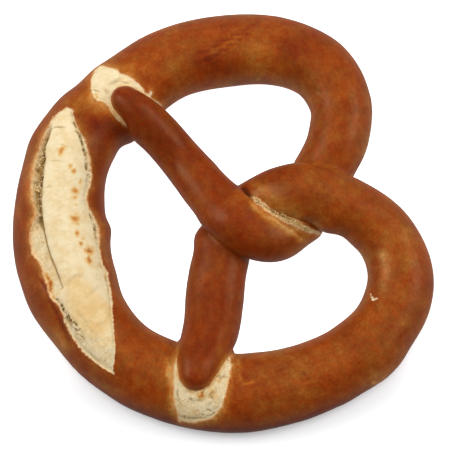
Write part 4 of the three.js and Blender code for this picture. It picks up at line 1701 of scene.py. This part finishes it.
@dataclass
class PretzelBody:
    """The pretzel itself: one baked rope with its split, torn patches and marks.

    Attributes:
        sweep: what makes the even mesh.
        skin: the skin that its points settle on.
        split: the cut along the belly.
        twist: the tear where the arms cross.
        marks: lumps, wrinkles and browning.
        patches: bare dough round the arms' tips.
        seed: fixes all roughness.
        refined: for each round of refining, the distance inside the crumb's edge it begins at.
        front: direction in which the belly's shoulder lies, whose steep foot gets painted shade, not sheen.
        front_from: distances along it over which that painted shade sets in.
        painted_shade_tone: how much the painted shade darkens the steep foot there.
        painted_sheen_tone: how much painted sheen lightens the steep flanks on the opposite side.
    """

    sweep: RopeSweep
    skin: RopeSkin
    split: SplitBelly = field(default_factory=SplitBelly)
    twist: TwistTear = field(default_factory=TwistTear)
    marks: CrustMarks = field(default_factory=CrustMarks)
    patches: tuple[TornPatch, ...] = (
        TornPatch(
            "first_tip",
            (
                (-66.1, -10.8), (-63.4, -8.1), (-61.3, -4.6), (-61.2, -1.8), (-62.7, 1.2),
                (-62, 5), (-61.9, 8.3), (-62.7, 10.8), (-64, 13.6), (-70, 14.2),
                (-80, 13), (-78.6, 10.8), (-77.6, 9.6), (-78.3, 9), (-79.6, 8.3), (-79.3, 7.5), (-77.9, 7.9),
                (-77.1, 7), (-77.1, 4.4), (-76.8, 1.9), (-76, -0.7), (-74.6, -4), (-74.3, -6.4),
                (-72.9, -8.8), (-71.2, -12.4), (-68.5, -12.3),
            ),
            gilt=0.6,
            spots=each(ToastSpot, (-61.4, -2.8, 1.6, 1.6, 0.5), (-62.5, 6.2, 1.8, 6.0, 0.5)),
            # the lined folds get painted shade
            folds=each(
                Fold,
                (((-67.6, -3.9), (-69.3, -3.1), (-71.4, -2.5), (-73.4, -2.4)), 0.7, 0.35, 0.3),
                (((-66.4, -3.4), (-65.4, -0.6)), 0.8, 0.2, 0.22),
                (((-62.6, -6.9), (-63.3, -5), (-64.2, -3.2)), 0.25, 0.2, 0.45),
                (((-72.4, -1.6), (-73.6, 0.4), (-75.0, 1.0)), 0.25, 0.2, 0.35),
                (((-74.6, 3.4), (-75.9, 4.6)), 0.25, 0.15, 0.3),
            ),
        ),
        TornPatch(
            "second_tip",
            (
                (63.4, 11), (63.4, 7.3), (63.2, 4), (64.6, -1.6), (66.5, -7.4), (69.5, -13.6),
                (74.3, -12.9), (79.7, -10.8), (82.3, -7.2), (83.8, 1.1), (84.7, 8.7),
                (83.7, 12.9), (72, 14),
            ),
            coarse=0.52,
            gilt=0.9,
            rubbed=0.6,
            tan=0.14,
            spots=each(
                ToastSpot,
                (75.2, -3.4, 1.8, 1.4, 1.0),
                (78.6, -2.6, 2.2, 1.5, 0.55),
                (80.6, 2.4, 1.6, 0.9, 0.4),
            ),
            # the lined folds get painted shade
            folds=each(
                Fold,
                (((72.4, -7.4), (73.4, -5.8), (75.8, -5.6), (76.8, -4.2)), 0.4, 0.35, 0.3),
                (((81.0, -8.6), (77.2, -11.3), (72.6, -12.2), (68.4, -11.8)), 0.5, 0.16, 0.1),
                (((66.4, -3.6), (67.4, -6.0), (69.2, -8.8)), 0.4, 0.2, 0.25),
                (((80.0, -3.4), (78.6, -6.0), (77.6, -8.4)), 0.4, 0.2, 0.2),
            ),
        ),
    )
    seed: int = 11
    refined: tuple[float, ...] = (-2.5, -0.9)
    front: tuple[float, float, float] = (0.961, -0.276, 0.0)
    front_from: tuple[float, float] = (44.0, 60.0)
    painted_shade_tone: float = 1.1
    painted_sheen_tone: float = 0.3

    def _relax(self, mesh: bpy.types.Mesh, points: Numbers, outward: Numbers, rounds: int) -> Numbers:
        """Evens out the points within the skin.

        Args:
            mesh: the skin, for its edges.
            points: its points.
            outward: the way out of the skin at each.
            rounds: how often they are evened out.

        Returns:
            The moved points.
        """
        flat = np.empty(len(mesh.edges) * 2, dtype=np.int32)
        mesh.edges.foreach_get("vertices", flat)
        ends = flat.reshape(-1, 2)
        start, end = np.r_[ends[:, 0], ends[:, 1]], np.r_[ends[:, 1], ends[:, 0]]
        count = np.maximum(np.bincount(start, minlength=len(points)), 1)
        for _ in range(rounds):
            mean = np.stack(
                [np.bincount(start, points[end, k], minlength=len(points)) / count for k in range(3)], 1
            )
            move = mean - points
            move -= np.einsum("ij,ij->i", move, outward)[:, None] * outward
            points = points + 0.6 * move
        return points

    def _refine(self, mesh: bpy.types.Mesh, wanted: Numbers) -> None:
        """Cuts into four the faces whose points are all wanted."""
        kneading = bmesh.new()
        kneading.from_mesh(mesh)
        kneading.verts.ensure_lookup_table()
        chosen = [e for e in kneading.edges if wanted[e.verts[0].index] and wanted[e.verts[1].index]]
        bmesh.ops.subdivide_edges(kneading, edges=chosen, cuts=1, use_grid_fill=True)
        kneading.to_mesh(mesh)
        kneading.free()

    def _relief(self, skin: SkinPoint) -> Relief:
        """All relief and browning at points of the skin."""
        relief = Relief.plain(len(skin.points))
        noise = DoughNoise(self.seed)
        self.split.bake(skin, relief, noise)
        for patch in self.patches:
            patch.bake(skin, relief, noise)
        self.twist.bake(skin, relief, noise)
        self.marks.bake(skin, relief, noise)
        return relief

    def build(self, finish: bpy.types.Material, box: tuple[Vector, Vector]) -> bpy.types.Object:
        """Builds the body.

        Args:
            finish: its material.
            box: lowest and highest corners that it has to stay inside, in metres.

        Returns:
            The finished object.
        """
        mesh = self.sweep.kneaded(finish)
        log.info("kneaded skin: %d points", len(mesh.vertices))
        points, outward = self.skin.settle(mesh_points(mesh), 2)
        points = self._relax(mesh, points, outward, 4)
        points, outward = self.skin.settle(points, 2)
        for level, depth in enumerate(self.refined):
            relief = self._relief(self.skin.describe(points))
            set_mesh_points(mesh, points)
            self._refine(mesh, relief.crumb > depth)
            points, outward = self.skin.settle(mesh_points(mesh), 2)
            log.info("refined %d: %d points", level + 1, len(points))
        points = self._relax(mesh, points, outward, 2)
        points, outward = self.skin.settle(points, 3)
        skin = self.skin.describe(points)
        relief = self._relief(skin)
        off_table = smooth_between(points[:, 2], 0.1, 2.5)
        points = points + (relief.rise * off_table)[:, None] * outward
        points[:, 2] = np.maximum(points[:, 2], 0)
        points = self._fit(points, box)
        set_mesh_points(mesh, points)
        steep = smooth_between(outward[:, 2], 0.8, 0.22)
        # painted shade at the steep foot on the near side, and painted sheen on the steep flanks of the far
        # side
        ahead = np.array(self.front)
        front = smooth_between(outward @ ahead, 0.7, 0.95) * smooth_between(points @ ahead, *self.front_from)
        relief.bake -= self.painted_shade_tone * steep * front
        relief.bake += self.painted_sheen_tone * steep * smooth_between(-(outward @ ahead), 0.6, 0.95)
        for name in ("crumb", "toast", "torn", "bake", "gilt", "coarse"):
            write_attribute(mesh, name, getattr(relief, name))
        # painted sheen on the steep flanks, left off on the near side, which gets painted shade instead
        write_attribute(mesh, "flank", steep * (1 - front))
        stretches = (("place", 0.1), ("across", 0.45), ("up", 0.45))
        write_attribute(mesh, "run", np.stack([skin.own(name) * stretch for name, stretch in stretches], 1))
        mesh.polygons.foreach_set("use_smooth", np.ones(len(mesh.polygons), dtype=bool))
        mesh.materials.clear()
        mesh.materials.append(finish)
        mesh.name = "pretzel_dough"
        return new_object("pretzel_dough", mesh)

    @staticmethod
    def _fit(points: Numbers, box: tuple[Vector, Vector]) -> Numbers:
        """Draws the points in just enough for them to stay inside the box.

        Args:
            points: the body's points.
            box: lowest and highest corners, in metres.

        Returns:
            The moved points.
        """
        low, high = np.array(box[0]) / MM, np.array(box[1]) / MM
        middle = (low + high) / 2
        middle[2] = 0.0
        for axis in range(3):
            reach = points[:, axis] - middle[axis]
            over = max(reach.max() / (high[axis] - middle[axis]), 1.0)
            if axis < 2:
                over = max(over, reach.min() / (low[axis] - middle[axis]))
            points[:, axis] = middle[axis] + reach / (over * 1.0002)
        return points


@dataclass
class LooseCrumbs:
    """Small crumbs that cling to the torn dough.

    Attributes:
        per_square_metre: how many there are where the dough is most ragged.
        smallest: radius of the smallest, in millimetres.
        largest: radius of the largest, in millimetres.
        seed: fixes where they lie.
    """

    per_square_metre: float = 800000.0
    smallest: float = 0.14
    largest: float = 0.42
    seed: int = 5

    def tree(self, finish: bpy.types.Material) -> bpy.types.NodeTree:
        """The tree that scatters crumbs where the dough says that they lie.

        Args:
            finish: material of the crumbs.

        Returns:
            The geometry node tree, with inputs for how many there are and how large.
        """
        sizes = dict.fromkeys(("Density", "Smallest", "Largest"), "Float")
        kinds = {"Dough": "Geometry"} | sizes | {"Seed": "Int"}
        tree = new_tree("scatter_crumbs", "GeometryNodeTree", kinds, {"Crumbs": "Geometry"})
        board = NodeBoard(tree)
        given = board.add("NodeGroupInput").outputs
        seed = given["Seed"]
        coarse = board.add("GeometryNodeInputNamedAttribute", {"Name": "coarse"}, data_type="FLOAT")
        thick = board.times(board.math("POWER", coarse.outputs["Attribute"], 2.0), given["Density"])
        spread = board.add(
            "GeometryNodeDistributePointsOnFaces",
            {"Mesh": given["Dough"], "Density": thick, "Seed": seed},
            distribute_method="RANDOM",
        )
        ball = board.add("GeometryNodeMeshIcoSphere", {"Radius": 1.0, "Subdivisions": 1}).outputs["Mesh"]
        where = board.add("GeometryNodeInputPosition").outputs[0]
        lumps = board.add("ShaderNodeTexNoise", {"Vector": where, "Scale": 1.3, "Detail": 1.0}).outputs[0]
        push = board.vector("SCALE", {0: where, "Scale": board.varied(lumps, 1.5)})
        lumpy = board.add("GeometryNodeSetPosition", {"Geometry": ball, "Offset": push}).outputs[0]
        whole_turn = (math.tau, math.tau, math.tau)
        turned = {0: (0, 0, 0), 1: whole_turn, "Seed": seed}
        turn = board.add("FunctionNodeRandomValue", turned, data_type="FLOAT_VECTOR").outputs[0]
        sized = {2: given["Smallest"], 3: given["Largest"], "Seed": 3}
        size = board.add("FunctionNodeRandomValue", sized, data_type="FLOAT").outputs[1]
        points = spread.outputs["Points"]
        crumbs = {"Points": points, "Instance": lumpy, "Rotation": turn, "Scale": size}
        placed = board.add("GeometryNodeInstanceOnPoints", crumbs).outputs[0]
        board.add("NodeGroupOutput", {"Crumbs": board.dressed(placed, finish)})
        return tree

    def build(self, dough: bpy.types.Object, finish: bpy.types.Material) -> bpy.types.Object:
        """Scatters the crumbs over the dough.

        Args:
            dough: the finished body.
            finish: material of the crumbs.

        Returns:
            The crumbs as one plain mesh.
        """
        holder = new_object("crumb_scatter", dough.data.copy())
        sizes = {
            "Density": self.per_square_metre,
            "Smallest": self.smallest * MM,
            "Largest": self.largest * MM,
            "Seed": self.seed,
        }
        add_tree(holder, self.tree(finish), sizes)
        mesh = evaluated_mesh(holder)
        bpy.data.objects.remove(holder)
        mesh.materials.clear()
        mesh.materials.append(finish)
        mesh.name = "loose_crumbs"
        return new_object("loose_crumbs", mesh)


# ---- Studio ----


@dataclass(frozen=True)
class SoftBox:
    """A square studio light aimed at the pretzel.

    Attributes:
        name: what the light is called.
        aside: how far to the right of the camera's picture it stands, in metres.
        away: how far towards the top of the picture, in metres.
        height: how high over the table, in metres.
        side: length of its side, in metres.
        power: its power in watts.
        glossy: whether it shows in the crust's gloss.
    """

    name: str
    aside: float
    away: float
    height: float
    side: float
    power: float
    glossy: bool


@dataclass
class Studio:
    """Pale table, soft lights and the camera.

    Attributes:
        azimuth_deg: how far the camera stands round the pretzel from the belly's side.
        elevation_deg: how high it looks down from.
        distance: how far it stands from what it looks at, in metres.
        lens: its focal length in millimetres.
        aim: what it looks at, in metres.
        surround: strength of the even light from all sides.
        table_glow: how much light the table gives the pretzel.
        table_gloss: how bright the table is in the crust's gloss.
        near_bounce: what is added to table_glow on the near side.
        middle_bounce: what is added to table_glow in the middle.
        near_glow: how bright the table itself looks on the near side, in the pretzel's shade.
        far_glow: how bright it looks elsewhere.
        middle_glow: how bright it would look inside the rope's holes.
        near_from: distances from the middle, in metres, over which the near side begins.
        middle_to: distances from the middle, in metres, over which the middle ends.
        contact: width of the painted contact shadow where the pretzel touches the table, in metres.
        table_reach: how far the table goes each way, in metres.
        boxes: the studio lights.
    """

    azimuth_deg: float = 74.0
    elevation_deg: float = 78.0
    distance: float = 0.75
    lens: float = 161.6
    aim: tuple[float, float, float] = (0.0015, 0.005, 0.010)
    surround: float = 0.06
    table_glow: float = 0.45
    table_gloss: float = 0.3
    near_bounce: float = -0.45
    middle_bounce: float = 0.36
    near_glow: float = 0.34
    far_glow: float = 0.6
    middle_glow: float = 0.8
    near_from: tuple[float, float] = (0.035, 0.066)
    middle_to: tuple[float, float] = (0.072, 0.06)
    contact: float = 0.0045
    table_reach: float = 3.0
    boxes: tuple[SoftBox, ...] = each(
        SoftBox,
        ("left_box", -0.75, 0.1, 0.62, 0.42, 3.2, True),
        ("right_box", 0.75, 0.15, 0.62, 0.42, 1.8, True),
        ("left_fill", -0.9, 0.0, 0.6, 0.7, 1.1, False),
        ("right_fill", 0.9, 0.0, 0.6, 0.7, 3.5, False),
        ("back_fill", 0.0, 0.9, 0.7, 0.7, 4.8, False),
        ("overhead", -0.1, 0.12, 1.2, 0.9, 6.6, False),
    )

    def axes(self) -> tuple[Vector, Vector, Vector]:
        """Directions from the pretzel to the camera, to the picture's right and to its top."""
        a, e = math.radians(self.azimuth_deg), math.radians(self.elevation_deg)
        back = Vector((math.sin(a) * math.cos(e), -math.cos(a) * math.cos(e), math.sin(e)))
        right = Vector((math.cos(a), math.sin(a), 0))
        return back, right, back.cross(right)

    def table(self) -> bpy.types.Object:
        """The pale table, wide enough to fill every view."""
        corners = [(-1, -1), (1, -1), (1, 1), (-1, 1)]
        mesh = bpy.data.meshes.new("table_top")
        reach = self.table_reach
        mesh.from_pydata([(x * reach, y * reach, 0) for x, y in corners], [], [(0, 1, 2, 3)])
        made, board = new_material("table_white")
        position = board.add("ShaderNodeTexCoord").outputs["Object"]
        _, right, _ = self.axes()
        toward = right.cross(Vector((0, 0, 1)))
        # painted light on the table: its glow is weaker on the near side and brighter in the middle, where
        # the holes are
        near_side = board.step(board.vector("DOT_PRODUCT", {0: position, 1: toward}), *self.near_from)
        middle = board.step(board.vector("LENGTH", {0: position}), *self.middle_to)
        shaded = board.times(near_side, self.far_glow - self.near_glow)
        seen_glow = board.minus(self.far_glow, shaded)
        seen_glow = board.plus(seen_glow, board.times(middle, self.middle_glow - self.near_glow))
        # painted contact shadow: on the near side the glow the camera sees fades where the pretzel's foot
        # covers the table
        sky = board.add("ShaderNodeAmbientOcclusion", {"Distance": self.contact}, samples=8).outputs["AO"]
        covered = board.times(near_side, board.minus(1.0, sky))
        seen_glow = board.times(seen_glow, board.minus(1.0, covered))
        # painted bounce light: the glow that lights the pretzel is also weaker on the near side and stronger
        # in the middle
        bounce = board.plus(self.table_glow, board.times(near_side, self.near_bounce))
        bounce = board.plus(bounce, board.times(middle, self.middle_bounce))
        rays = board.add("ShaderNodeLightPath").outputs
        more = board.times(rays["Is Camera Ray"], board.minus(seen_glow, bounce))
        white = {"Base Color": (0.86, 0.88, 0.9, 1), "Roughness": 0.9, "Specular IOR Level": 0.1}
        glow = {"Emission Color": PLAIN_WHITE, "Emission Strength": board.plus(bounce, more)}
        lit = board.add("ShaderNodeBsdfPrincipled", white | glow).outputs[0]
        gloss = {"Color": PLAIN_WHITE, "Strength": self.table_gloss}
        mirrored = board.add("ShaderNodeEmission", gloss).outputs[0]
        parts = {0: rays["Is Glossy Ray"], 1: lit, 2: mirrored}
        board.surface(board.add("ShaderNodeMixShader", parts).outputs[0])
        mesh.materials.append(made)
        return new_object("table_top", mesh)

    def light(self) -> None:
        """Sets the lights and the even surround."""
        _, right, _ = self.axes()
        away = Vector((0, 0, 1)).cross(right)
        for box in self.boxes:
            lamp = bpy.data.lights.new(box.name, "AREA")
            lamp.shape, lamp.size, lamp.energy = "SQUARE", box.side, box.power
            holder = new_object(box.name, lamp)
            holder.location = right * box.aside + away * box.away + Vector((0, 0, box.height))
            aim = Vector(self.aim) - holder.location
            holder.rotation_euler = aim.to_track_quat("-Z", "Y").to_euler()
            holder.visible_glossy = box.glossy
        world = bpy.data.worlds.new("studio_surround")
        world.use_nodes = True
        background = world.node_tree.nodes["Background"].inputs
        background["Color"].default_value = PLAIN_WHITE
        background["Strength"].default_value = self.surround
        bpy.context.scene.world = world

    def camera(self) -> None:
        """Sets the camera that looks down on the pretzel."""
        back, _, _ = self.axes()
        lens = bpy.data.cameras.new("camera")
        lens.lens, lens.sensor_width, lens.clip_start = self.lens, 36.0, 0.01
        holder = new_object("camera", lens)
        holder.location = Vector(self.aim) + back * self.distance
        holder.rotation_euler = (-back).to_track_quat("-Z", "Y").to_euler()
        bpy.context.scene.camera = holder

    def build(self) -> None:
        """Sets the table, the lights and the camera."""
        self.table()
        self.light()
        self.camera()
        bpy.context.scene.view_settings.view_transform = "Standard"


def main() -> None:
    """Builds the pretzel, dresses it and sets the studio."""
    logging.basicConfig(level=logging.INFO, format="%(name)s: %(message)s")
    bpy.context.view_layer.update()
    line = RopeLine()
    log.info("rope: %.1f mm long, %d samples", line.length, len(line.along))
    body = PretzelBody(RopeSweep(line), RopeSkin(line))
    dough = body.build(BakedDough().material(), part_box("pretzel"))
    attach(dough, "root")
    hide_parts("pretzel")
    log.info("pretzel_dough: %d points, %d faces", len(dough.data.vertices), len(dough.data.polygons))
    crumbs = LooseCrumbs().build(dough, LooseCrumb().material())
    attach(crumbs, "root")
    log.info("loose_crumbs: %d faces", len(crumbs.data.polygons))
    Studio().build()


if __name__ == "__main__":
    main()
